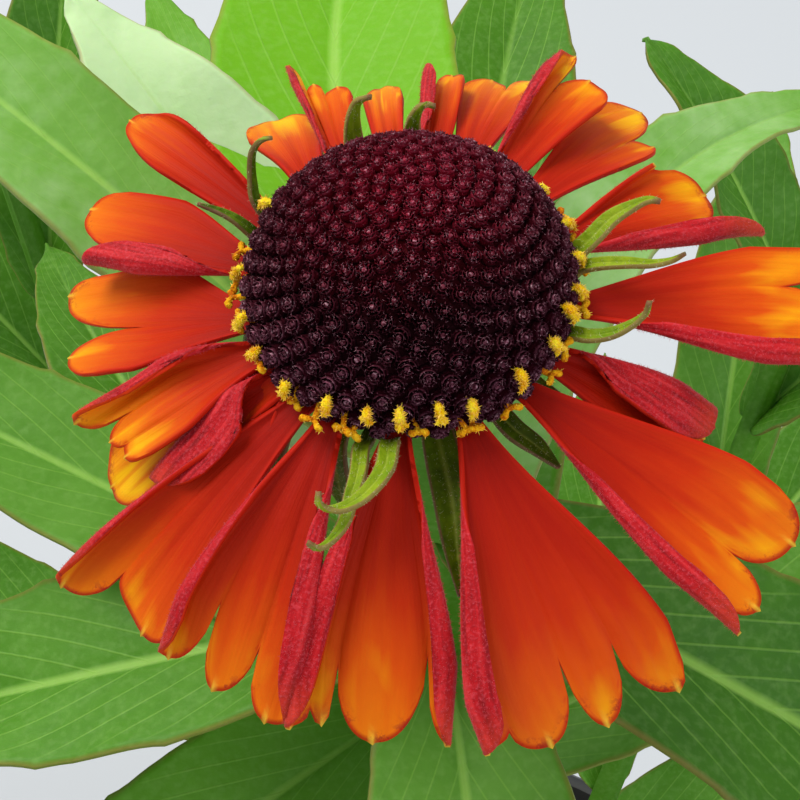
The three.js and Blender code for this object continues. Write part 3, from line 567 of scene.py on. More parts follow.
def folded_section(across, half, folded, ramp):
    """Sideways and upward distances across the petal. Past the fold the margin turns over onto it."""
    a = np.abs(across)
    cup = RAY_CUP * half * np.minimum(a, 1) ** 2
    sheet = half * (np.minimum(a, 1) + np.clip(a - 1, 0, None) * ramp)
    fold = np.where(folded, half - FOLD_RADIUS, sheet)
    beyond = np.clip(sheet - fold, 0, None)
    angle = np.minimum(np.pi, beyond / FOLD_RADIUS)
    rest = np.clip(beyond - np.pi * FOLD_RADIUS, 0, None)
    sideways = np.minimum(sheet, fold) + FOLD_RADIUS * np.sin(angle) - rest
    return np.sign(across) * sideways, cup + FOLD_RADIUS * (1 - np.cos(angle)) + FOLD_LIFT * rest


def ray_columns(count, outline):
    """Places across a petal, moved a little from even spacing so that each tip and notch has a column"""
    places = np.linspace(outline[0][0], outline[-1][0], count)
    for knot, _ in outline[1:-1]:
        places[np.argmin(np.abs(places - knot))] = knot
    return places


def bump_at(across, middle, width):
    return np.exp(-(((across - middle) / width) ** 2))


# %% Petals from grids
POINT_REACH = 0.01
NOTCH_DIP = 0.12
RIDGE_HEIGHT = 0.05
RAY_FIRST_SEED = 100


def ray_petal(ray, seed):
    """One petal. It carries its distance from the margin, its reach, its points, tone and rolled edge."""
    random = np.random.default_rng(seed)
    outline = ray["outline"]
    strip, share, level = flat_strip("ray", round(16 + 1.4 * ray["length"]), round(26 + 3 * ray["width"]))
    levels, column = np.unique(level.round(5), return_inverse=True)
    across = ray_columns(len(levels), outline)[column]
    point_mask = sum(bump_at(across, tip, 0.02) for tip, _ in outline[1::2])
    share = share**0.85
    u = share * (reach_at(across, outline) + POINT_REACH * point_mask)
    azimuth = ray["at"] + ray["turn"]
    start = polar(ray["at"], RAY_CIRCLE, RAY_LEVEL)
    path = bent_path(start, azimuth, ray["rise"], ray["droop"], ray["length"], lead=RAY_ROOT)
    point, up, side = path(u)
    root = RAY_ROOT / (ray["length"] + RAY_ROOT)
    past = np.clip((u - root) / (1 - root), 0, None)
    half = ray_half_width(past, ray["width"], ray.get("belly", RAY_BELLY))
    folded = np.where(across > 0, "left" in ray, "right" in ray)
    x, z = folded_section(across, half, folded, 0.1 + 0.9 * np.clip(past / 0.35, 0, 1))
    for notch, _ in outline[2:-1:2]:
        z = z - NOTCH_DIP * bump_at(across, notch, 0.05) * np.clip(past * 2 - 0.3, 0, 1)
    flat = np.minimum(np.abs(across), 1)
    z = z - RIDGE_HEIGHT * np.cos(across * 9 + random.uniform(0, 6)) * np.clip(past * 3, 0, 1)
    z = z + random.uniform(0.1, 0.3) * np.sin(past * random.uniform(5, 8) + random.uniform(0, 6)) * flat**2
    set_places(strip, on_bloom(point + side * x[:, None] + up * z[:, None]))
    sheet = np.stack([u * (ray["length"] + RAY_ROOT), across * half], -1)
    rim = sheet[(share > 0.999) | (np.abs(level) > 0.999)]
    set_tone(strip, "edge", np.linalg.norm(sheet[:, None] - rim, axis=2).min(axis=1))
    set_tone(strip, "reach", u)
    set_tone(strip, "point", point_mask * np.clip(share * 20 - 19, 0, 1))
    set_tone(strip, "tone", ray["tone"])
    set_tone(strip, "rolled", (np.abs(across) > 0.93) * folded * np.clip(past * 4, 0, 1))
    return strip


petals = [ray_petal(ray, RAY_FIRST_SEED + i) for i, ray in enumerate(RAYS)]
rays = join_pieces(petals, "ray_florets_fine")
print("petals", len(RAYS), "with", len(rays.data.polygons), "faces")

# %% [markdown]
# ## Petal colour
# The petals are deep red at the root and turn through red-orange to yellow patches inside the lobes, with
# a thin dark red margin, all of it soft. Each vertex carries its reach along the petal and its distance
# from the margin, and noise drawn out along the petal breaks the colours up. The underside is crimson
# under a pale bloom of hairs.

# %% Petal materials
STREAK_SHIFT = (60.0, 60.0, 60.0)


def add_uv(tree):
    return add_node(tree, "ShaderNodeUVMap", uv_map="UVMap").outputs["UV"]


def add_vector_math(tree, operation, first, second):
    node = add_node(tree, "ShaderNodeVectorMath", {0: first, 1: second}, operation=operation)
    return node.outputs["Vector"]


def add_streaks(tree, along, across, detail):
    """Noise drawn out along a strip. Petals differ because object space moves the pattern."""
    spread = add_vector_math(tree, "MULTIPLY", add_uv(tree), (along, across, 1.0))
    shift = add_vector_math(tree, "MULTIPLY", object_place(tree), STREAK_SHIFT)
    return add_noise(tree, add_vector_math(tree, "ADD", spread, shift), 1.0, detail)


def petal_top_material():
    material, tree, shader = new_material("petal_top")
    edge = add_value(tree, "edge")
    streaks = add_streaks(tree, 1.6, 9.0, 2.0)
    reach = add_value(tree, "reach")
    pushed = add_math(tree, "ADD", reach, add_range(tree, streaks, 0.3, 0.7, -0.07, 0.07))
    pushed = add_math(tree, "ADD", pushed, add_product(tree, add_value(tree, "tone"), 0.42))
    body = add_ramp(tree, add_range(tree, pushed, 0.0, 1.4), [
        (0.05, srgb(132, 12, 6)),
        (0.24, srgb(156, 20, 6)),
        (0.38, srgb(170, 30, 6)),
        (0.5, srgb(186, 44, 6)),
        (0.64, srgb(206, 76, 6)),
        (0.78, srgb(220, 110, 8)),
        (1.0, srgb(234, 158, 12)),
    ])
    patch = add_range(tree, add_streaks(tree, 1.8, 5.0, 1.0), 0.48, 0.6)
    patch = add_product(tree, patch, add_range(tree, pushed, 0.88, 1.2), add_range(tree, edge, 0.2, 0.8))
    body = add_mix(tree, patch, body, srgb(240, 180, 8))
    margin = add_range(tree, edge, 0.36, 0.1, 0.0, 0.8)
    body = add_mix(tree, margin, body, srgb(186, 30, 12))
    spots = add_range(tree, add_mottle(tree, 900.0, 3.0), 0.66, 0.95)
    spots = add_product(tree, spots, add_range(tree, edge, 0.8, 0.3), add_range(tree, reach, 0.86, 0.96))
    body = add_mix(tree, add_product(tree, spots, 0.6), body, srgb(142, 24, 26))
    body = add_mix(tree, add_value(tree, "point"), body, srgb(238, 196, 60))
    plug(tree, shader, {
        "Base Color": body,
        "Normal": add_relief(tree, 1500.0, 0.22, add_streaks(tree, 2.0, 46.0, 1.0)),
        "Roughness": add_range(tree, streaks, 0.3, 0.7, 0.5, 0.62),
        "Specular IOR Level": 0.08,
        "Subsurface Weight": 0.12,
        "Subsurface Radius": (1.0, 0.25, 0.05),
        "Subsurface Scale": 0.001,
    })
    return material


def petal_under_material():
    material, tree, shader = new_material("petal_underside")
    streaks = add_streaks(tree, 3.0, 30.0, 3.0)
    body = add_ramp(tree, add_range(tree, streaks, 0.3, 0.7), [
        (0.0, srgb(136, 4, 14)),
        (0.5, srgb(178, 12, 22)),
        (1.0, srgb(206, 44, 48)),
    ])
    fuzz = add_range(tree, add_noise(tree, object_place(tree), 5200.0, 1.0), 0.5, 0.75, 0.0, 0.4)
    body = add_mix(tree, fuzz, body, srgb(214, 76, 88))
    tips = add_range(tree, add_value(tree, "reach"), 0.8, 1.0, 0.0, 0.5)
    body = add_mix(tree, tips, body, srgb(200, 74, 24))
    plug(tree, shader, {
        "Base Color": body,
        "Normal": add_relief(tree, 2600.0, 0.7),
        "Roughness": 0.6,
        "Specular IOR Level": 0.15,
        "Sheen Weight": 0.06,
        "Subsurface Weight": 0.1,
        "Subsurface Radius": (1.0, 0.2, 0.15),
        "Subsurface Scale": 0.001,
    })
    return material


# %% Petals with two sides
PETAL_THICKNESS = 0.3

paint(rays, petal_top_material(), petal_under_material())
apply_modifier(rays, "SOLIDIFY", thickness=PETAL_THICKNESS * MM, offset=0.0, material_offset=1)
shade_smooth(rays)
print("petals after solidify", len(rays.data.polygons), "faces")

# %% [markdown]
# ## Hairs
# Fine hairs blur the edges of the rolled petals, the bracts and the young leaves. Blender's hair curves
# don't survive export, so each hair here is a real three-sided spike. Random points are drawn on the
# faces by area, from a fixed seed, and one small formula builds all the spikes of a piece at once.

# %% Hairs
HAIR_SINK = 0.03


def hairs_on(piece, name, count, length, thickness, lean, seed, weigh=None):
    """Spikes on a piece's faces, sized in millimetres. weigh gives each triangle its likelihood, from its
    corners' vertex numbers and its material number."""
    mesh = piece.data
    mesh.calc_loop_triangles()
    total = len(mesh.loop_triangles)
    corners = np.empty(total * 3, dtype=np.int32)
    mesh.loop_triangles.foreach_get("vertices", corners)
    corners = corners.reshape(-1, 3)
    slots = np.empty(total, dtype=np.int32)
    mesh.loop_triangles.foreach_get("material_index", slots)
    places = read_places(piece)
    a, b, c = (places[corners[:, k]] for k in range(3))
    normals = np.cross(b - a, c - a)
    areas = np.linalg.norm(normals, axis=1)
    chance = areas * (weigh(corners, slots) if weigh else 1.0)
    random = np.random.default_rng(seed)
    picked = random.choice(total, count, p=chance / chance.sum())
    s, t = random.random((2, count, 1))
    flip = s + t > 1
    s, t = np.where(flip, 1 - s, s), np.where(flip, 1 - t, t)
    roots = a[picked] + s * (b - a)[picked] + t * (c - a)[picked]
    out = normals[picked] / areas[picked, None]
    grow = out + lean * random.normal(size=(count, 3))
    grow /= np.linalg.norm(grow, axis=1)[:, None]
    side = np.cross(grow, random.normal(size=(count, 3)))
    side /= np.linalg.norm(side, axis=1)[:, None]
    other = np.cross(grow, side)
    radius = thickness * MM / 2
    ring = [side, -0.5 * side + 0.87 * other, -0.5 * side - 0.87 * other]
    feet = [roots - out * HAIR_SINK * MM + radius * r for r in ring]
    tips = roots + grow * (length * MM * random.uniform(0.5, 1.2, (count, 1)))
    vertices = np.stack([*feet, tips], axis=1).reshape(-1, 3)
    first = np.arange(count)[:, None] * 4
    faces = np.concatenate([first + [0, 1, 3], first + [1, 2, 3], first + [2, 0, 3], first + [2, 1, 0]])
    return new_piece(name, vertices, faces.tolist())


def hair_material(name, dark, light):
    material, tree, shader = new_material(name)
    body = add_mix(tree, add_mottle(tree, 900.0, 2.0), dark, light)
    plug(tree, shader, {"Base Color": body, "Roughness": 0.45, "Sheen Weight": 0.3})
    return material


def ray_hair_weight(corners, slots):
    """Only the underside has hairs, and most of them stand along its rolled edges"""
    return (slots == 1) * (0.04 + read_tone(rays, "rolled")[corners].mean(axis=1))


ray_hairs = hairs_on(
    rays, "ray_hairs", count=18000, length=0.2, thickness=0.03, lean=0.9, seed=21, weigh=ray_hair_weight,
)
paint(ray_hairs, hair_material("crimson_hair", srgb(172, 12, 24), srgb(206, 58, 68)))
print("hairs on petals", len(ray_hairs.data.polygons) // 4)

# %% [markdown]
# ## The dome of buds
# The middle of the flower is a dome of hundreds of closed florets in crossing spirals. Sunflower order
# gives them: each one is turned 137.5 degrees from the last. They are larger low on the dome, so the
# steps from top to rim grow with the size wanted there. One bud is modelled from a cylinder, with five
# lobes at its top, and copied, each copy scaled and turned to stand on the dome.

# %% One bud
BUD_SIDES = 10
BUD_LOBES = 5
BUD_TOP = 1.5
PAPILLAE = 20
PAPILLA_LENGTH = 0.36


def bud_template():
    """A club-shaped bud standing on z = 0, from a cylinder that swells and is then drawn in and lobed"""
    deselect()
    bpy.ops.mesh.primitive_cylinder_add(vertices=BUD_SIDES, radius=0.5, depth=1.2, end_fill_type="NGON")
    bud = bpy.context.object
    for face in bud.data.polygons:
        face.select = face.normal.z > 0.9
    bpy.ops.object.mode_set(mode="EDIT")
    bpy.ops.mesh.select_mode(type="FACE")
    for lift, size in ((0.3, 1.4), (0.35, 1.2), (0.3, 0.86), (0.14, 0.58), (-0.08, 0.5)):
        bpy.ops.mesh.extrude_region_move(TRANSFORM_OT_translate={"value": (0, 0, lift)})
        bpy.ops.transform.resize(value=(size, size, 1))
    bpy.ops.mesh.poke()
    bpy.ops.object.mode_set(mode="OBJECT")
    places = read_places(bud)
    lobes = np.cos(BUD_LOBES * np.arctan2(places[:, 1], places[:, 0]))
    places[:, :2] *= (1 + 0.1 * lobes * np.clip(places[:, 2], 0, 1))[:, None]
    places[:, 2] += 0.12 * lobes * np.clip(places[:, 2] - 0.8, 0, 1)
    faces = [list(face.vertices) for face in bud.data.polygons if face.normal.z > -0.9]
    bpy.data.objects.remove(bud, do_unlink=True)
    return places, faces


def papillae():
    """Short spikes that stand out all round a bud's top, each a three-sided point"""
    places, faces = [], []
    for i in range(PAPILLAE):
        high = 1 - 0.85 * (i + 0.5) / PAPILLAE
        flat = math.sqrt(1 - high * high)
        angle = 2.4 * i
        out = np.array([flat * math.cos(angle), flat * math.sin(angle), high])
        side = np.array([-math.sin(angle), math.cos(angle), 0.0])
        other = np.cross(out, side)
        foot = np.array([0.0, 0.0, 0.95]) + out * [0.66, 0.66, 0.62]
        first = len(places)
        places += [foot + 0.1 * side, foot - 0.05 * side + 0.09 * other, foot - 0.05 * side - 0.09 * other]
        places.append(foot + PAPILLA_LENGTH * out)
        faces += [[first + j, first + (j + 1) % 3, first + 3] for j in range(3)]
    return np.array(places), faces


bud_places, bud_faces = bud_template()
spike_places, spike_faces = papillae()
bud_faces = bud_faces + [[v + len(bud_places) for v in face] for face in spike_faces]
bud_heights = np.concatenate([bud_places[:, 2] / BUD_TOP, np.tile([0.75, 0.75, 0.75, 1.15], PAPILLAE)])
bud_places = np.concatenate([bud_places, spike_places])
print("one bud has", len(bud_faces), "faces")

# %% Buds on the dome
DISC_RADIUS = 9.9
DISC_RISE = 7.2
DISC_MIDDLE = 0.6
BUD_SPACING_TOP = 1.08
BUD_SPACING_RIM = 1.5
BUD_WIDTH = 0.54
BUD_SINK = 1.3
DOME_LOWEST = math.radians(98)
GOLDEN_ANGLE = math.radians(137.508)


def dome_point(fall, angle, grown=0.0):
    """A place on the dome, fall radians down from its top, and the outward direction there"""
    flat, high = np.sin(fall), np.cos(fall)
    place = np.stack([
        DISC_RADIUS * flat * np.cos(angle),
        DISC_RADIUS * flat * np.sin(angle),
        DISC_MIDDLE + DISC_RISE * high,
    ], -1)
    out = np.stack([flat * np.cos(angle), flat * np.sin(angle), high * DISC_RADIUS / DISC_RISE], -1)
    out /= np.linalg.norm(out, axis=-1)[..., None]
    return place + out * grown, out


def bud_order():
    """How far down the dome each bud sits, and the spacing there, so that the buds fill it evenly"""
    fall = np.linspace(0, DOME_LOWEST, 2000)
    share = fall / DOME_LOWEST
    spacing = BUD_SPACING_TOP + (BUD_SPACING_RIM - BUD_SPACING_TOP) * np.clip(share * 1.25, 0, 1) ** 1.1
    step = np.hypot(DISC_RADIUS * np.cos(fall), DISC_RISE * np.sin(fall)) * (fall[1] - fall[0])
    ring_area = 2 * np.pi * DISC_RADIUS * np.sin(fall) * step
    count = np.cumsum(ring_area / (0.866 * spacing**2))
    numbers = np.arange(int(count[-1])) + 0.5
    return np.interp(numbers, count, fall), np.interp(numbers, count, spacing)


def dome_of_buds():
    """All buds as one mesh, with a tone for each bud and each vertex's height in its bud"""
    falls, spacings = bud_order()
    random = np.random.default_rng(5)
    places, faces, tones = [], [], []
    for i, (fall, spacing) in enumerate(zip(falls, spacings)):
        root, out = dome_point(fall, i * GOLDEN_ANGLE)
        out = out + 0.05 * random.normal(size=3)
        out /= np.linalg.norm(out)
        side = np.cross(out, UP + 0.01)
        side /= np.linalg.norm(side)
        basis = np.stack([side, np.cross(out, side), out])
        spin = random.uniform(0, 2 * np.pi)
        c, s = np.cos(spin), np.sin(spin)
        turned = bud_places @ np.array([[c, s, 0], [-s, c, 0], [0, 0, 1]])
        size = spacing * BUD_WIDTH * random.uniform(0.93, 1.07)
        height = size * random.uniform(0.9, 1.15)
        local = turned * [size, size, height]
        local[:, 2] -= BUD_SINK * height
        first = len(places) * len(bud_places)
        places.append(root + local @ basis)
        faces += [[first + v for v in face] for face in bud_faces]
        tones.append(np.full(len(bud_places), random.uniform(0, 1)))
    buds = new_piece("disc_buds", np.concatenate(places) * MM, faces)
    set_tone(buds, "tone", np.concatenate(tones))
    set_tone(buds, "bud_height", np.tile(bud_heights, len(falls)))
    seat_on_bloom(buds)
    shade_smooth(buds)
    return buds, len(falls)


buds, bud_count = dome_of_buds()
print("buds", bud_count)

# %% Dome under the buds
DOME_INSET = 0.5
DOME_FLOOR = 0.95

deselect()
bpy.ops.mesh.primitive_uv_sphere_add(segments=48, ring_count=24, radius=1.0)
dome = bpy.context.object
dome.name = "disc_dome"
dome_size = np.array([DISC_RADIUS, DISC_RADIUS, DISC_RISE]) - DOME_INSET
dome_places = read_places(dome) * dome_size + [0, 0, DISC_MIDDLE]
dome_places[:, 2] = np.maximum(dome_places[:, 2], DOME_FLOOR)
set_places(dome, on_bloom(dome_places))
apply_modifier(dome, "WELD", merge_threshold=0.01 * MM)
set_tone(dome, "tone", 0.5)
# Height 0 gives the dome under the buds the painted shade of the gaps in the bud material.
set_tone(dome, "bud_height", 0.0)
shade_smooth(dome)
disc = join_pieces([buds, dome], "disc_florets_fine")
print("disc faces", len(disc.data.polygons))

# %% [markdown]
# ## Bud colour
# The buds look almost black from a step away, and deep maroon close up, with paler purple-grey hairs on
# their tips that catch the light. Near the crown they are redder, and low on the dome more purple. A mask
# from each bud's own height paints shade into the gaps: the low parts of the buds, and the dome under them,
# are painted near black. A gradient in object space warms the crown.

# %% Bud material
CROWN = np.array([0.0, 2.5, 7.8])


def bud_material():
    material, tree, shader = new_material("bud_maroon")
    height = add_value(tree, "bud_height")
    place = object_place(tree)
    inputs = {0: place, 1: tuple(on_bloom(CROWN) * MM)}
    away = add_node(tree, "ShaderNodeVectorMath", inputs, operation="DISTANCE").outputs["Value"]
    warm = add_range(tree, away, 0.009, 0.002)
    low = add_range(tree, away, 0.009, 0.014)
    # The colour of the painted shade in the gaps between the buds, redder at the crown
    painted_gap_shade = add_mix(tree, warm, srgb(36, 1, 8), srgb(92, 1, 16))
    dark = add_mix(tree, warm, srgb(48, 2, 12), srgb(122, 6, 28))
    dark = add_mix(tree, low, dark, srgb(48, 3, 16))
    light = add_mix(tree, warm, srgb(138, 70, 84), srgb(180, 70, 94))
    light = add_mix(tree, low, light, srgb(158, 96, 118))
    speck = add_noise(tree, place, 4200.0, 2.0)
    frost = add_product(
        tree,
        add_range(tree, height, 0.86, 1.12),
        add_range(tree, speck, 0.36, 0.6),
        add_range(tree, add_value(tree, "tone"), 0.0, 1.0, 0.5, 1.0),
    )
    body = add_mix(tree, frost, dark, light)
    glints = add_product(tree, add_range(tree, height, 0.95, 1.1), add_range(tree, speck, 0.6, 0.66), 0.6)
    body = add_mix(tree, glints, body, srgb(216, 178, 188))
    # Painted shade: the low parts of each bud and the dome under them go near black
    body = add_mix(tree, add_range(tree, height, 0.65, 0.3), body, painted_gap_shade)
    plug(tree, shader, {
        "Base Color": body,
        "Normal": add_relief(tree, 4200.0, 0.8),
        "Roughness": add_range(tree, speck, 0.35, 0.7, 0.7, 0.5),
        "Specular IOR Level": 0.06,
        "Sheen Weight": 0.05,
        "Sheen Tint": srgb(226, 130, 156),
    })
    return material


def tip_weight(corners, slots):
    return np.clip(read_tone(disc, "bud_height")[corners].mean(axis=1) - 0.7, 0, 1)


paint(disc, bud_material())
bud_hairs = hairs_on(
    disc, "bud_hairs", count=14000, length=0.2, thickness=0.028, lean=0.6, seed=22, weigh=tip_weight,
)
paint(bud_hairs, hair_material("maroon_hair", srgb(92, 22, 40), srgb(196, 140, 154)))
print("hairs on buds", len(bud_hairs.data.polygons) // 4)

# %% [markdown]
# ## Open florets
# Only the lowest florets are open. Those of the bottom row have put out a golden style that forks and
# curls back. The row above them is just opening, and each floret there carries a bright yellow brush of
# pollen. All are drawn as short curves with a round bevel, made into a mesh, and roughened with a Displace
# modifier, and the brushes get small spikes.

# %% Strokes
STROKE_SMOOTHNESS = 3


def round_stroke(name, points, radii):
    """A tube through points, in millimetres, with a radius at each"""
    data = bpy.data.curves.new(name, "CURVE")
    data.dimensions = "3D"
    data.bevel_depth = MM
    data.bevel_resolution = STROKE_SMOOTHNESS
    data.use_fill_caps = True
    spline = data.splines.new("POLY")
    spline.points.add(len(points) - 1)
    for target, point, radius in zip(spline.points, points, radii):
        target.co = (*(np.asarray(point) * MM), 1.0)
        target.radius = radius
    stroke = bpy.data.objects.new(name, data)
    bpy.context.collection.objects.link(stroke)
    return stroke


def strokes_as_mesh(strokes, name):
    deselect()
    for stroke in strokes:
        stroke.select_set(True)
    bpy.context.view_layer.objects.active = strokes[0]
    bpy.ops.object.convert(target="MESH")
    return join_pieces(list(bpy.context.selected_objects), name)


# %% Styles of the lowest row
OPEN_RING = 9.5
OPEN_LEVEL = 0.55
STYLE_AZIMUTHS = [
    0, 12, 28, 49, 58, 75, 93, 112, 128, 142, 161, 172, 185, 198, 212, 224, 237, 246, 258, 270, 284, 294, 306,
    318, 332, 347,
]
SHAFT_RADII = np.linspace(0.2, 0.17, 7)
BRANCH_RADII = [0.15, 0.16, 0.17, 0.18, 0.19, 0.21, 0.23, 0.22, 0.12]


def forked_style(azimuth, random):
    """A short shaft with two branches that curl back, each with a blunt end"""
    reach = random.uniform(0.9, 1.7)
    swing = random.uniform(-7, 7)
    lift = random.uniform(-0.1, 0.7)
    neck = polar(azimuth, OPEN_RING - 0.8, OPEN_LEVEL + 0.3)
    fork = polar(azimuth + swing, OPEN_RING + reach * 0.7, OPEN_LEVEL + lift - 0.2)
    curve, _, _ = smooth_curve([neck, (neck + fork) / 2 + [0, 0, 0.2], fork], len(SHAFT_RADII))
    strokes = [round_stroke("style", curve, SHAFT_RADII)]
    for way in (-1, 1):
        spread = random.uniform(0.3, 0.65)
        out = polar(azimuth + swing, 1.0, 0.0)
        aside = polar(azimuth + swing + way * 90, 1.0, 0.0)
        tip = fork + out * random.uniform(0.15, 0.35) + aside * spread + [0, 0, random.uniform(-0.2, 0.25)]
        curl = tip - out * random.uniform(0.0, 0.3) + aside * 0.12 + [0, 0, random.uniform(-0.35, 0.0)]
        through = [fork, (fork + tip) / 2 + [0, 0, 0.12], tip, curl]
        curve, _, _ = smooth_curve(through, len(BRANCH_RADII))
        strokes.append(round_stroke("branch", curve, BRANCH_RADII))
    return strokes


# %% Pollen brushes of the next row
BRUSH_AZIMUTHS = [-8, 6, 20, 38, 62, 101, 150, 176, 196, 209, 226, 243, 257, 268, 281, 292, 311, 328, 341]
BRUSH_RADII = np.array([0.12, 0.2, 0.26, 0.29, 0.3, 0.29, 0.26, 0.16])
FRAY_RADII = [0.14, 0.12, 0.11, 0.12, 0.13, 0.07]
FRAYS = 4


def pollen_brush(azimuth, random):
    """A stout brush that leans out of its floret and down over the ones below, frayed at its end"""
    fall = math.radians(random.uniform(70, 84))
    angle = math.radians(azimuth)
    foot, out = dome_point(np.array(fall), np.array(angle), 0.1)
    aside = np.array([-math.sin(angle), math.cos(angle), 0.0])
    down = np.cross(aside, out)
    down = down if down[2] < 0 else -down
    length = random.uniform(0.5, 1.1)
    stout = random.uniform(0.75, 1.1)
    middle = foot + out * 0.4 + down * length * 0.45
    tip = foot + out * 0.45 + down * length + aside * random.uniform(-0.2, 0.2)
    curve, _, _ = smooth_curve([foot, middle, tip], len(BRUSH_RADII))
    strokes = [round_stroke("brush", curve, stout * BRUSH_RADII)]
    for i in range(FRAYS):
        spread = aside * (i - 1.5) * random.uniform(0.12, 0.3) + out * random.uniform(-0.1, 0.25)
        end = tip + down * random.uniform(0.1, 0.45) + spread
        start = curve[5]
        through = [start, (start + end) / 2 + out * 0.06, end]
        fray, _, _ = smooth_curve(through, len(FRAY_RADII))
        strokes.append(round_stroke("fray", fray, FRAY_RADII))
    return strokes


# %% Open florets as one piece
POLLEN_GRAIN = 0.2
POLLEN_ROUGHNESS = 0.16

style_random = np.random.default_rng(8)
fork_strokes = [stroke for azimuth in STYLE_AZIMUTHS for stroke in forked_style(azimuth, style_random)]
brush_strokes = [stroke for azimuth in BRUSH_AZIMUTHS for stroke in pollen_brush(azimuth, style_random)]
forks = strokes_as_mesh(fork_strokes, "forked_styles")
brushes = strokes_as_mesh(brush_strokes, "pollen_brushes")
set_tone(forks, "bright", 0.0)
set_tone(brushes, "bright", 1.0)
styles = join_pieces([forks, brushes], "open_florets_fine")
seat_on_bloom(styles)
pollen = bpy.data.textures.new("pollen", "CLOUDS")
pollen.noise_scale = POLLEN_GRAIN * MM
apply_modifier(
    styles, "DISPLACE", texture=pollen, texture_coords="OBJECT", strength=POLLEN_ROUGHNESS * MM,
    mid_level=0.5,
)
shade_smooth(styles)
print("styles", len(STYLE_AZIMUTHS), "brushes", len(BRUSH_AZIMUTHS), "faces", len(styles.data.polygons))

# %% Pollen


def brush_weight(corners, slots):
    return 0.12 + read_tone(styles, "bright")[corners].mean(axis=1)


def pollen_material():
    """Golden on the styles and lemon yellow on the brushes, which carry the tone named bright"""
    material, tree, shader = new_material("pollen_yellow")
    mask = add_mottle(tree, 1500.0, 2.5)
    golden = add_ramp(tree, mask, [
        (0.1, srgb(190, 96, 4)),
        (0.45, srgb(232, 154, 8)),
        (0.9, srgb(248, 192, 30)),
    ])
    lemon = add_ramp(tree, mask, [
        (0.1, srgb(226, 150, 4)),
        (0.45, srgb(250, 202, 8)),
        (0.9, srgb(255, 228, 50)),
    ])
    plug(tree, shader, {
        "Base Color": add_mix(tree, add_value(tree, "bright"), golden, lemon),
        "Normal": add_relief(tree, 6000.0, 0.9),
        "Roughness": 0.75,
        "Specular IOR Level": 0.1,
        "Subsurface Weight": 0.1,
        "Subsurface Radius": (1.0, 0.7, 0.1),
        "Subsurface Scale": 0.0004,
    })
    return material


paint(styles, pollen_material())
pollen_spikes = hairs_on(
    styles, "pollen_spikes", count=4200, length=0.24, thickness=0.09, lean=0.5, seed=24, weigh=brush_weight,
)
paint(pollen_spikes, hair_material("pollen_grains", srgb(238, 170, 8), srgb(255, 222, 60)))
print("spikes of pollen", len(pollen_spikes.data.polygons) // 4)

# %% [markdown]
# ## Bracts
# Narrow green bracts sit under the petals. Most hang down, and some squeeze up between the petals and
# curl over them. Each follows a smooth curve through a few places, given as azimuth, radius and height,
# and is a grid with a folded section that narrows to a point.

# %% Table of bracts
RISEN_BRACTS = [
    (1.35, [(6, 8, -2.6), (8, 9.8, -0.8), (10.5, 10.4, 0.6), (11.5, 11.3, 1.5), (14.6, 12.6, 2.2),
           (15.3, 13.8, 2.7), (15.1, 15, 3.1), (14, 15.6, 3.1)]),
    (0.8, [(3, 8, -2.6), (5, 9.8, -0.8), (5.5, 10.4, 0.3), (3.5, 11.5, 1.2), (1.7, 13, 1.7), (1.3, 14.5, 1.6),
           (1.8, 15.7, 1.7), (1.9, 16.4, 2.3)]),
    (0.9, [(-20, 8, -2.6), (-20.5, 9.6, -0.8), (-20.9, 10.3, 0.4), (-22.2, 11.6, 1.2), (-20.6, 12.8, 1.7),
           (-18, 13.8, 2.3), (-16, 14.4, 2.9), (-14.8, 14.5, 3.8)]),
    (1.1, [(-97, 8, -2.6), (-96.5, 9.8, -1), (-96, 10.9, 0.2), (-95.8, 12.7, 1), (-98.4, 14.4, 1.5),
           (-101.9, 15.5, 1.6), (-105, 16.1, 1.8), (-107.1, 16.2, 2.5), (-107.5, 15.7, 3)]),
    (0.95, [(-106, 8, -2.6), (-105.5, 9.8, -1.6), (-104.9, 10.9, -0.5), (-103, 12.8, 0.2),
            (-102.7, 14.6, 0.6), (-102.7, 16.2, 0.7), (-104.4, 17.5, 0.7), (-105.8, 18.2, 1),
            (-107.4, 18.2, 1.6)]),
    (0.8, [(156, 8, -2.6), (156.3, 9.6, -0.8), (156.5, 10.8, 0.8), (156.5, 11.8, 1.6), (156.8, 13, 2),
           (157.6, 14, 2.3)]),
    (0.65, [(147, 8, -2.6), (146.5, 10, -1), (145.9, 11.6, 0.8), (143.2, 12.2, 1.6), (140.9, 12.5, 2.8),
            (139.3, 12.3, 4.2), (137.5, 11.8, 5), (135, 11.4, 5)]),
    (1.2, [(108.5, 8, -2.6), (108.5, 10, -1), (108.5, 11.2, 0.8), (107, 11.6, 3.2), (104.5, 11.5, 4.6),
           (100.9, 11.2, 5)]),
    (1.1, [(90, 8, -2.6), (89.5, 10, -1), (89.4, 11.2, 0.8), (87.8, 11.3, 2.6), (84.9, 11.5, 3.4),
           (81.5, 11.6, 3.2)]),
    (2.1, [(-80, 8, -2.6), (-79.5, 10.4, -3.2), (-79.4, 12.6, -3.6), (-80.4, 15.4, -4.4),
           (-81.1, 17.9, -5.6)]),
    (1.3, [(-54, 8, -2.6), (-53, 10, -3.2), (-50, 11.6, -3.9), (-48, 13, -5)]),
]
# The last tone, 0.0, makes the bract that hangs between the front petals the darkest: its own dark green with
# painted shade from the petals over it.
BRACT_TONES = [0.8, 0.95, 0.7, 0.75, 0.8, 0.1, 0.3, 0.9, 0.7, 0.2, 0.0]
HANGING_AZIMUTHS = [-68, -36, 26, 48, 70, 122, 174, 196, 218, 240]
HANGING_WIDTH = 1.8
HANGING_TONE = 0.2

# %% Bracts
BRACT_THICKNESS = 0.32
BRACT_FIRST_SEED = 40


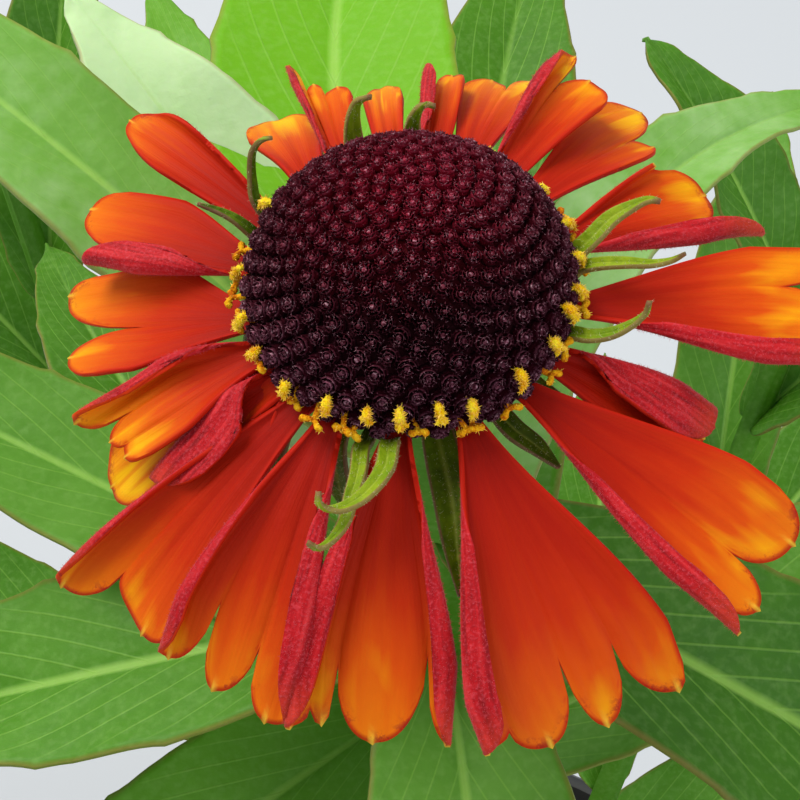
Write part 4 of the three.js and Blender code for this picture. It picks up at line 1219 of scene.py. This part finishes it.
def hanging_bract(azimuth, i):
    return (HANGING_WIDTH, [
        (azimuth, 8, -2.6),
        (azimuth, 9.4, -3.6),
        (azimuth + 4, 10.6 + (i % 3) * 0.5, -6),
        (azimuth + 7, 11.4 + (i % 3), -8.5),
    ])


def bract_strip(width, through, tone, seed):
    random = np.random.default_rng(seed)
    curve, along, _ = smooth_curve([polar(*place) for place in through], 60)
    strip, share, across = flat_strip("bract", 40, 10)
    point = sample(curve, share)
    direction = sample(along, share)
    direction /= np.linalg.norm(direction, axis=1)[:, None]
    side = np.stack([-point[:, 1], point[:, 0], 0 * share], -1)
    side -= (side * direction).sum(1)[:, None] * direction
    side /= np.linalg.norm(side, axis=1)[:, None]
    up = np.cross(direction, side)
    half = width / 2 * (0.85 + 0.25 * np.sin(np.pi * share)) * (1 - 0.8 * share**3.2)
    fold = 0.4 * np.abs(across) * half + 0.04 * np.sin(share * 14 + random.uniform(0, 6)) * across
    set_places(strip, on_bloom(point + side * (across * half)[:, None] + up * fold[:, None]))
    set_tone(strip, "tone", tone)
    set_tone(strip, "bractlike", 1.0)
    return strip


bract_list = RISEN_BRACTS + [hanging_bract(a, i) for i, a in enumerate(HANGING_AZIMUTHS)]
bract_tones = BRACT_TONES + [HANGING_TONE] * len(HANGING_AZIMUTHS)
strips = []
for i, ((width, through), tone) in enumerate(zip(bract_list, bract_tones)):
    strips.append(bract_strip(width, through, tone, BRACT_FIRST_SEED + i))
bracts = join_pieces(strips, "bracts")
apply_modifier(bracts, "SOLIDIFY", thickness=BRACT_THICKNESS * MM, offset=0.0)
shade_smooth(bracts)
print("bracts", len(bract_list))

# %% [markdown]
# ## The seat under the flower
# Below the petals the stem swells into a green seat that carries every floret. It is turned, so half its
# outline is drawn as a line of edges and spun round the flower's axis.

# %% Spun pieces


def spun_piece(name, outline, steps):
    """Spins an outline, given as radius and height pairs from the axis, round +Z into a closed piece"""
    edges = [(i, i + 1) for i in range(len(outline) - 1)]
    places = np.array([(radius, 0, height) for radius, height in outline])
    piece = new_piece(name, places * MM, [], edges)
    activate(piece)
    bpy.ops.object.mode_set(mode="EDIT")
    bpy.ops.mesh.select_all(action="SELECT")
    bpy.ops.mesh.spin(steps=steps, angle=2 * math.pi, center=(0, 0, 0), axis=(0, 0, 1))
    bpy.ops.mesh.select_all(action="SELECT")
    bpy.ops.mesh.remove_doubles(threshold=0.01 * MM)
    bpy.ops.mesh.normals_make_consistent(inside=False)
    bpy.ops.object.mode_set(mode="OBJECT")
    return piece


def put_in_order(piece):
    """Rebuilds a mesh with its vertices and faces in the order of their places, to the micron. Merging
    leaves them in another order at each run, and a hair finds its triangle by number."""
    places = read_places(piece)
    order = np.lexsort(np.round(places / MM * 1000).astype(int).T)
    rank = np.argsort(order).tolist()
    faces = [[rank[v] for v in face.vertices] for face in piece.data.polygons]
    piece.data.clear_geometry()
    piece.data.from_pydata(places[order].tolist(), [], sorted(faces, key=sorted))


# %% Seat
SEAT_RADIUS = 8.6
SEAT_TOP = -1.4
NECK_DEPTH = 7.0

seat = spun_piece("seat", [
    (0, -NECK_DEPTH),
    (2.2, -NECK_DEPTH),
    (2.6, -NECK_DEPTH + 1.2),
    (3.8, -NECK_DEPTH + 2.6),
    (6.4, SEAT_TOP - 2.4),
    (8.2, SEAT_TOP - 1.4),
    (SEAT_RADIUS, SEAT_TOP - 0.7),
    (SEAT_RADIUS - 0.1, SEAT_TOP),
    (6.6, SEAT_TOP),
    (6.4, 0.6),
    (6.2, 0.9),
    (0, 0.9),
], steps=48)
put_in_order(seat)
seat_on_bloom(seat)
set_tone(seat, "tone", 0.3)
set_tone(seat, "bractlike", 0.0)
shade_smooth(seat)
involucre = join_pieces([bracts, seat], "involucre_fine")
involucre_hairs = hairs_on(
    involucre, "involucre_hairs", count=16000, length=0.22, thickness=0.026, lean=0.7, seed=23,
)
print("involucre faces", len(involucre.data.polygons))

# %% [markdown]
# ## Stems
# A sneezeweed's stem has thin wings that run down from each leaf. The section is a small closed curve
# with three wings, and a bevelled curve carries it up the stem. Converted, it becomes a plain mesh.

# %% Stems
STEM_TONE = 0.35
MIX_TOP = 124.0
HOLE_DEPTH = 28.0
STEM_RADIUS = 2.3
STEM_BODY = 0.92
STEM_WING = 1.4
STEM_RIDGE = 0.03
SECTION_POINTS = 30


def winged_section():
    """A closed curve about 1 mm in radius, with three wings and fine ridges"""
    data = bpy.data.curves.new("winged_section", "CURVE")
    spline = data.splines.new("POLY")
    spline.points.add(SECTION_POINTS - 1)
    for i, target in enumerate(spline.points):
        angle = i / SECTION_POINTS * 2 * math.pi
        wing = max(0.0, math.cos(3 * angle)) ** 6
        reach = STEM_BODY + (STEM_WING - STEM_BODY) * wing + STEM_RIDGE * math.cos(15 * angle)
        target.co = (reach * math.cos(angle) * MM, reach * math.sin(angle) * MM, 0, 1)
    spline.use_cyclic_u = True
    section = bpy.data.objects.new("winged_section", data)
    bpy.context.collection.objects.link(section)
    return section


SECTION = winged_section()


def stem_piece(points, foot_radius, top_radius, count):
    curve, _, _ = smooth_curve(points, count)
    stroke = round_stroke("stem", curve, np.linspace(foot_radius, top_radius, count))
    stroke.data.bevel_mode = "OBJECT"
    stroke.data.bevel_object = SECTION
    stem = strokes_as_mesh([stroke], "stem")
    set_tone(stem, "tone", STEM_TONE)
    set_tone(stem, "glow", 0.0)
    set_tone(stem, "stemlike", 1.0)
    return stem


# %% [markdown]
# ## Leaves
# The leaves are lance-shaped and stalkless, folded a little along a pale midrib, with waved edges and
# shallow teeth. Each is a grid bent along its path. Its middle columns dip for the midrib, and side
# veins are pressed in at a slant, so that they catch the light as real relief.

# %% Leaves
LEAF_BASE = 1.9
LEAF_FOLD = 18
LEAF_THICKNESS = 0.4
TEETH_DEPTH = 0.35
RIPPLE_HEIGHT = 0.8
MIDRIB_DEPTH = 0.45
VEIN_DEPTH = 0.14
VEIN_SPACING = 7.5


def leaf_strip(start, leaf, seed):
    random = np.random.default_rng(seed)
    strip, share, across = flat_strip("leaf", 64, 22)
    path = bent_path(start, leaf["azimuth"], leaf["rise"], leaf["droop"], leaf["length"], leaf.get("bend", 0))
    point, up, side = path(share)
    body = np.sin(np.pi * np.clip(share, 0, 1) ** 0.82) ** 0.85
    half = leaf["width"] / 2 * body + LEAF_BASE - 1.4 * share
    half = half * np.where(share > 0.97, np.sqrt(np.clip((1 - share) / 0.03, 0, 1)), 1)
    flat = np.abs(across)
    half = half + TEETH_DEPTH * np.maximum(0, np.sin(share * leaf["length"] * 0.55 + seed)) ** 6 * flat**8
    fold = math.radians(leaf.get("fold", LEAF_FOLD))
    ripple = RIPPLE_HEIGHT * np.sin(share * 11) * flat * np.minimum(1, share * 3)
    small = 0.35 * np.sin(share * random.uniform(24, 32) + np.sign(across) * 1.3) * across**2
    midrib = -MIDRIB_DEPTH * np.exp(-((across / 0.07) ** 2)) * (1 - share)
    slant = share * leaf["length"] - flat * half * 1.5
    ruts = np.exp(-((((slant / VEIN_SPACING) % 1) - 0.5) / 0.09) ** 2)
    veins = -VEIN_DEPTH * ruts * np.clip(flat * 6, 0, 1)
    high = flat * half * math.sin(fold) + ripple + small + midrib + veins
    wide = across * half * math.cos(fold)
    set_places(strip, point + side * wide[:, None] + up * high[:, None])
    set_tone(strip, "tone", leaf.get("tone", random.uniform(0.2, 0.5)))
    set_tone(strip, "glow", leaf.get("glow", 0.0))
    set_tone(strip, "stemlike", 0.0)
    return strip


# %% Table of the stem's leaves
STEM_LEAVES = [
    dict(up=236, azimuth=112, length=84, width=19, rise=10, droop=34, bend=-40, tone=0.45, glow=1),
    dict(up=236, azimuth=145, length=70, width=10, rise=28, droop=22, tone=0.72),
    dict(up=228, azimuth=334, length=74, width=18, rise=-13, droop=24, bend=14, tone=0.15),
    dict(up=222, azimuth=126, length=56, width=14, rise=36, droop=24, bend=4, tone=1),
    dict(up=214, azimuth=188, length=66, width=16, rise=-8, droop=24, bend=-8, tone=0.38),
    dict(up=208, azimuth=277, length=64, width=17, rise=-4, droop=34, tone=0.5),
    dict(up=202, azimuth=160, length=74, width=13, rise=26, droop=34, bend=-8, tone=0.5),
    dict(up=198, azimuth=214, length=70, width=15, rise=-4, droop=30, tone=0.5, glow=0.3),
    dict(up=196, azimuth=86, length=88, width=10, rise=35, droop=56, bend=-62, tone=0.75),
    dict(up=190, azimuth=140, length=76, width=15, rise=13, droop=30, bend=-28, tone=0.1, glow=0.2),
    dict(up=184, azimuth=110, length=88, width=15, rise=36, droop=34, bend=3, tone=0.5, glow=0.4),
    dict(up=182, azimuth=258, length=66, width=15, rise=6, droop=34, bend=6, tone=0.4, glow=0.5),
    dict(up=176, azimuth=24, length=84, width=17, rise=27, droop=36, bend=-10, tone=0.45),
    dict(up=168, azimuth=86, length=112, width=24, rise=33, droop=36, bend=-8, tone=0.1, glow=0.2),
]

# %% Flowering stem
FOOT_GAP = 2
STEM_FOOT = MIX_TOP - HOLE_DEPTH + FOOT_GAP
STEM_LEAF_FIRST_SEED = 60

stem_points = [
    (0, 0, STEM_FOOT),
    (0.5, 0.5, MIX_TOP + 30),
    (1.5, 1, MIX_TOP + 90),
    (0.5, 1, MIX_TOP + 160),
    on_bloom(np.array([0, 0, -NECK_DEPTH - 40.0])),
    on_bloom(np.array([0, 0, -NECK_DEPTH - 0.3])),
]
stem_curve, _, stem_length = smooth_curve(stem_points, 200)
stem_parts = [stem_piece(stem_points, STEM_RADIUS * 1.15, STEM_RADIUS * 0.9, 90)]
for i, leaf in enumerate(STEM_LEAVES):
    share = min(0.985, (leaf["up"] + HOLE_DEPTH - FOOT_GAP) / stem_length)
    start = sample(stem_curve, np.array([share]))[0]
    stem_parts.append(leaf_strip(start, leaf, STEM_LEAF_FIRST_SEED + i))


def finish_leafy(parts, name):
    """Thickens the leaves, then joins them to their stem"""
    leaves = join_pieces(parts[1:], name + "_leaves")
    apply_modifier(leaves, "SOLIDIFY", thickness=LEAF_THICKNESS * MM, offset=0.0)
    whole = join_pieces([parts[0], leaves], name)
    shade_smooth(whole)
    return whole


flowering_stem = finish_leafy(stem_parts, "flowering_stem_fine")
print("stem", round(stem_length), "mm long, leaves", len(STEM_LEAVES))

# %% [markdown]
# ## Side shoots
# Younger shoots come up round the flowering stem and lean outwards. They have no buds. A loop places
# their leaves by one rule: the golden ratio swings each to another side, and leaves shorten and stand
# more upright towards the tip.

# %% Side shoots
SIDE_SHOOTS = [
    dict(node="side_shoot_1", azimuth=55, radius=24, lean=19, height=170, leaves=7, leaf=84),
    dict(node="side_shoot_2", azimuth=122, radius=26, lean=20, height=185, leaves=7, leaf=84),
    dict(node="side_shoot_3", azimuth=192, radius=26, lean=22, height=130, leaves=6, leaf=78),
    dict(node="side_shoot_4", azimuth=263, radius=26, lean=20, height=95, leaves=6, leaf=70),
    dict(node="side_shoot_5", azimuth=337, radius=26, lean=22, height=120, leaves=6, leaf=76),
]
SHOOT_SECTOR = 58
SHOOT_LEAF_WIDTH = 19
SHOOT_FIRST_SEED = 200
SEEDS_EACH = 20
GOLDEN_RATIO = 0.618


def shoot_points(shoot):
    angle = math.radians(shoot["azimuth"])
    out = np.array([math.cos(angle), math.sin(angle), 0])
    slope = math.tan(math.radians(shoot["lean"]))
    points = []
    for share, ease in ((0, 1), (0.3, 1), (0.65, 0.98), (1, 0.9)):
        climb = share * (shoot["height"] + HOLE_DEPTH - FOOT_GAP)
        points.append(out * (shoot["radius"] + climb * slope * ease) + UP * (STEM_FOOT + climb))
    return points


def side_shoot(shoot, seed):
    points = shoot_points(shoot)
    curve, _, _ = smooth_curve(points, 200)
    parts = [stem_piece(points, STEM_RADIUS, STEM_RADIUS * 0.55, 60)]
    for i in range(shoot["leaves"]):
        share = i / (shoot["leaves"] - 1)
        swing = 2 * ((0.2 + i * GOLDEN_RATIO) % 1) - 1
        leaf = dict(
            azimuth=shoot["azimuth"] + SHOOT_SECTOR * (1 + share**2) * swing,
            length=shoot["leaf"] * (1 - 0.5 * share**1.6),
            width=SHOOT_LEAF_WIDTH * (1 - 0.35 * share),
            rise=28 + 38 * share,
            droop=52 - 22 * share,
            bend=-16 * swing,
            fold=16 + 10 * share,
        )
        start = sample(curve, np.array([0.36 + 0.62 * share**0.9]))[0]
        parts.append(leaf_strip(start, leaf, seed + i))
    return finish_leafy(parts, shoot["node"] + "_fine")


shoots = [side_shoot(shoot, SHOOT_FIRST_SEED + SEEDS_EACH * i) for i, shoot in enumerate(SIDE_SHOOTS)]
bpy.data.objects.remove(SECTION, do_unlink=True)
print("side shoots", len(shoots))

# %% [markdown]
# ## Green materials
# Leaf green is a mix of three things that the surface coordinates give: a pale midrib, paler side veins
# and a mottled blade between them. Each leaf also carries its own tone, from dark to pale, and the one
# behind the flower glows yellow-green because light comes through it.

# %% Leaf material


def surface_coordinates(tree):
    """Shares along a strip, and across it from its middle to either edge"""
    parts = add_node(tree, "ShaderNodeSeparateXYZ", {"Vector": add_uv(tree)})
    centred = add_math(tree, "SUBTRACT", parts.outputs["Y"], 0.5)
    return parts.outputs["X"], add_product(tree, add_math(tree, "ABSOLUTE", centred), 2.0)


def leaf_material():
    material, tree, shader = new_material("leaf_green")
    along, across = surface_coordinates(tree)
    leaf_only = add_math(tree, "SUBTRACT", 1.0, add_value(tree, "stemlike"))
    mottle = add_mottle(tree, 90.0, 1.4)
    mixed = add_math(tree, "ADD", add_value(tree, "tone"), add_range(tree, mottle, 0.0, 1.0, -0.1, 0.1))
    body = add_ramp(tree, mixed, [
        (0.0, srgb(44, 92, 6)),
        (0.35, srgb(74, 128, 22)),
        (0.7, srgb(112, 164, 62)),
        (1.0, srgb(188, 216, 160)),
    ])
    body = add_mix(tree, add_product(tree, add_value(tree, "glow"), 0.85), body, srgb(108, 172, 0))
    middle = add_range(tree, across, 0.075, 0.02)
    rib = add_product(tree, middle, add_range(tree, along, 1.0, 0.5), leaf_only, 0.6)
    body = add_mix(tree, rib, body, srgb(160, 204, 90))
    slant = add_math(tree, "SUBTRACT", add_product(tree, along, 84.0), add_product(tree, across, 26.0))
    vein_lines = add_range(tree, add_math(tree, "SINE", slant), 0.93, 1.0)
    fading = add_product(tree, add_range(tree, across, 1.0, 0.7), add_range(tree, mixed, 1.0, 0.6), 0.3)
    veins = add_product(tree, vein_lines, leaf_only, fading)
    body = add_mix(tree, veins, body, srgb(140, 186, 76))
    # Fine pale specks: partly the pale colour of the leaf's fine hairs, partly a painted sheen on them
    fine = add_range(tree, add_noise(tree, object_place(tree), 1300.0, 2.0), 0.45, 0.75, 0.0, 0.1)
    body = add_mix(tree, fine, body, srgb(170, 206, 124))
    margin = add_product(tree, add_range(tree, across, 0.95, 1.0), leaf_only, 0.45)
    plug(tree, shader, {
        "Base Color": add_mix(tree, margin, body, srgb(150, 110, 60)),
        "Normal": add_relief(tree, 900.0, 0.4, veins),
        "Roughness": add_range(tree, mottle, 0.0, 1.0, 0.46, 0.62),
        "Specular IOR Level": 0.22,
        "Subsurface Weight": 0.12,
        "Subsurface Radius": (0.4, 1.0, 0.15),
        "Subsurface Scale": 0.0015,
    })
    return material


LEAF_GREEN = leaf_material()
for piece in (flowering_stem, *shoots):
    paint(piece, LEAF_GREEN)
print("leaves painted on", 1 + len(shoots), "stems")

# %% Bract material


def bract_material():
    material, tree, shader = new_material("bract_green")
    along, across = surface_coordinates(tree)
    bractlike = add_value(tree, "bractlike")
    tone = add_product(tree, add_value(tree, "tone"), 0.6)
    mixed = add_math(tree, "ADD", tone, add_product(tree, add_mottle(tree, 500.0, 1.8), 0.4))
    body = add_ramp(tree, mixed, [
        (0.1, srgb(60, 84, 2)),
        (0.5, srgb(104, 134, 8)),
        (0.9, srgb(146, 164, 28)),
    ])
    pale = add_product(tree, add_range(tree, across, 0.3, 0.0), bractlike, 0.25)
    body = add_mix(tree, pale, body, srgb(204, 216, 96))
    margin = add_product(tree, add_range(tree, across, 0.93, 1.0), bractlike, 0.5)
    body = add_mix(tree, margin, body, srgb(150, 84, 84))
    tip = add_product(tree, add_range(tree, along, 0.95, 0.99), bractlike, 0.85)
    plug(tree, shader, {
        "Base Color": add_mix(tree, tip, body, srgb(128, 84, 62)),
        "Normal": add_relief(tree, 2200.0, 0.6),
        "Roughness": 0.55,
        "Specular IOR Level": 0.15,
        "Subsurface Weight": 0.1,
        "Subsurface Radius": (0.6, 1.0, 0.15),
        "Subsurface Scale": 0.0008,
    })
    return material


paint(involucre, bract_material())
paint(involucre_hairs, hair_material("pale_hair", srgb(170, 176, 110), srgb(222, 220, 180)))
print("bracts painted")

# %% [markdown]
# ## Pot
# A nursery pot is one thin plastic moulding: a tapered wall with a stepped rim and drain holes in its
# flat base. Its outline is spun as the seat's was, the edges are rounded by a Bevel modifier, and short
# cylinders cut the drain holes.

# %% Pot
POT_HEIGHT = 140.0
POT_BASE_RADIUS = 58.0
POT_TOP_RADIUS = 76.0
POT_WALL = 2.0
RIM_DROP = 14.0
RIM_STANDOUT = 3.2
DRAIN_HOLES = 6
DRAIN_RADIUS = 5.0
DRAIN_CIRCLE = 40.0
DRILL_LENGTH = 12.0
EDGE_ROUNDING = 0.4
SMOOTH_BELOW = math.radians(35)


def pot_outer(z):
    return POT_BASE_RADIUS + (POT_TOP_RADIUS - POT_BASE_RADIUS) * z / POT_HEIGHT


rim_bottom = POT_HEIGHT - RIM_DROP
rim_outer = pot_outer(rim_bottom) + RIM_STANDOUT
pot = spun_piece("pot_fine", [
    (0, 0),
    (POT_BASE_RADIUS - 3, 0),
    (POT_BASE_RADIUS, 3),
    (pot_outer(rim_bottom), rim_bottom),
    (rim_outer, rim_bottom + 1),
    (rim_outer + 1, POT_HEIGHT - 1.5),
    (rim_outer, POT_HEIGHT),
    (rim_outer - POT_WALL, POT_HEIGHT),
    (rim_outer - POT_WALL - 1, rim_bottom + 3),
    (pot_outer(rim_bottom) - POT_WALL, rim_bottom + 1),
    (POT_BASE_RADIUS - POT_WALL, POT_WALL + 1.5),
    (POT_BASE_RADIUS - POT_WALL - 3, POT_WALL),
    (0, POT_WALL),
], steps=96)
drills = []
for i in range(DRAIN_HOLES):
    place = polar(i * 360 / DRAIN_HOLES, DRAIN_CIRCLE, 0) * MM
    deselect()
    bpy.ops.mesh.primitive_cylinder_add(
        vertices=32, radius=DRAIN_RADIUS * MM, depth=DRILL_LENGTH * MM, location=place,
    )
    drills.append(bpy.context.object)
drill = join_pieces(drills, "drill")
apply_modifier(pot, "BOOLEAN", object=drill, operation="DIFFERENCE", solver="EXACT")
bpy.data.objects.remove(drill, do_unlink=True)
apply_modifier(
    pot, "BEVEL", width=EDGE_ROUNDING * MM, segments=2, limit_method="ANGLE", angle_limit=math.radians(30),
)
activate(pot)
bpy.ops.object.shade_smooth_by_angle(angle=SMOOTH_BELOW)
print("pot faces", len(pot.data.polygons))

# %% Pot material


def pot_material():
    """Dark plastic with a little dust, more of it near the floor"""
    material, tree, shader = new_material("pot_plastic")
    dust = add_mottle(tree, 60.0, 2.2)
    height = add_node(tree, "ShaderNodeSeparateXYZ", {"Vector": object_place(tree)}).outputs["Z"]
    splash = add_product(tree, dust, add_range(tree, height, 0.06, 0.0, 0.1, 0.5))
    plug(tree, shader, {
        "Base Color": add_mix(tree, splash, srgb(38, 41, 43), srgb(112, 98, 82)),
        "Normal": add_relief(tree, 1500.0, 0.12),
        "Roughness": add_range(tree, dust, 0.0, 1.0, 0.36, 0.6),
    })
    return material


paint(pot, pot_material())
print("pot painted")

# %% [markdown]
# ## Potting mix
# The mix fills the pot to just under the rim. Its body is spun, its top gets many small faces and is
# pushed up and down by noise. Crumbs of bark and a few white grains of perlite lie on it, each an
# icosphere squashed at random.

# %% Potting mix
MIX_WALL_GAP = 0.3
MIX_HEAP = 3
MIX_RINGS = 60
LUMPS = [
    dict(name="coarse_lumps", size=12.0, height=3.0),
    dict(name="fine_lumps", size=3.0, height=1.6),
]

mix_low = POT_BASE_RADIUS - POT_WALL - MIX_WALL_GAP - 1
mix_high = pot_outer(MIX_TOP) - POT_WALL - MIX_WALL_GAP - 0.3
top_rings = []
for k in range(MIX_RINGS + 1):
    top_rings.append((mix_high * (1 - k / MIX_RINGS), MIX_TOP + MIX_HEAP * k / MIX_RINGS))
mix = spun_piece("mix_body", [(0, POT_WALL + 0.3), (mix_low - 3, 4), (mix_low, 7), *top_rings], steps=160)
top_group = mix.vertex_groups.new(name="top")
top_group.add([v.index for v in mix.data.vertices if v.co.z > (MIX_TOP + 0.1) * MM], 1.0, "REPLACE")
for lumps in LUMPS:
    texture = bpy.data.textures.new(lumps["name"], "CLOUDS")
    texture.noise_scale = lumps["size"] * MM
    apply_modifier(
        mix, "DISPLACE", texture=texture, texture_coords="OBJECT", strength=lumps["height"] * MM,
        mid_level=0.5, vertex_group="top", direction="Z",
    )
print("mix body faces", len(mix.data.polygons))

# %% Crumbs on the mix


def crumbs(name, count, small, large, seed):
    """Small squashed stones lying on the mix"""
    deselect()
    bpy.ops.mesh.primitive_ico_sphere_add(subdivisions=1, radius=1.0)
    ball = bpy.context.object
    ball_places = read_places(ball)
    ball_faces = [list(face.vertices) for face in ball.data.polygons]
    bpy.data.objects.remove(ball, do_unlink=True)
    random = np.random.default_rng(seed)
    places, faces = [], []
    while len(places) < count:
        radius = math.sqrt(random.random()) * (mix_high - 1.5)
        centre = polar(random.uniform(0, 360), radius, MIX_TOP + MIX_HEAP * (1 - radius / mix_high))
        size = random.uniform(small, large) * random.uniform(0.6, 1.2, 3) * [1.3, 1.0, 0.6]
        spin = np.linalg.qr(random.normal(size=(3, 3)))[0]
        shape = ball_places * random.uniform(0.8, 1.2, (len(ball_places), 1)) * size
        first = len(places) * len(ball_places)
        places.append(centre + shape @ spin + [0, 0, random.uniform(-0.2, 0.6)])
        faces += [[first + v for v in face] for face in ball_faces]
    piece = new_piece(name, np.concatenate(places) * MM, faces)
    activate(piece)
    bpy.ops.object.mode_set(mode="EDIT")
    bpy.ops.mesh.select_all(action="SELECT")
    bpy.ops.mesh.normals_make_consistent(inside=False)
    bpy.ops.object.mode_set(mode="OBJECT")
    return piece


def mix_material(name, dark, light, scale):
    material, tree, shader = new_material(name)
    body = add_mix(tree, add_mottle(tree, scale, 2.4), dark, light)
    plug(tree, shader, {"Base Color": body, "Normal": add_relief(tree, 1800.0, 0.9), "Roughness": 0.9})
    return material


bark = crumbs("bark_crumbs", count=1500, small=0.5, large=1.5, seed=31)
perlite = crumbs("perlite_grains", count=110, small=0.6, large=1.2, seed=32)
paint(mix, mix_material("damp_mix", srgb(38, 26, 18), srgb(84, 62, 44), 260.0))
paint(bark, mix_material("bark", srgb(52, 32, 18), srgb(118, 84, 56), 420.0))
paint(perlite, mix_material("perlite", srgb(196, 192, 180), srgb(236, 234, 226), 500.0))
mix = join_pieces([mix, bark, perlite], "potting_mix_fine")
shade_smooth(mix)
print("mix faces", len(mix.data.polygons))

# %% [markdown]
# ## Hand over
# Each fine piece stands for its solid, which is hidden, and rides with the plant's one body.

# %% Hand over
for piece, node, slot in (
    (rays, "ray_florets", "ray_orange"),
    (disc, "disc_florets", "disc_maroon"),
    (styles, "open_florets", "style_yellow"),
    (involucre, "involucre", "bract_green"),
    (flowering_stem, "flowering_stem", "leaf_green"),
    (pot, "pot", "pot_plastic"),
    (mix, "potting_mix", "potting_mix"),
    *((piece, shoot["node"], "leaf_green") for piece, shoot in zip(shoots, SIDE_SHOOTS)),
):
    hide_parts(node)
    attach(piece, "root")
for piece, slot in (
    (ray_hairs, "ray_orange"),
    (bud_hairs, "disc_maroon"),
    (pollen_spikes, "style_yellow"),
    (involucre_hairs, "bract_green"),
):
    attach(piece, "root")
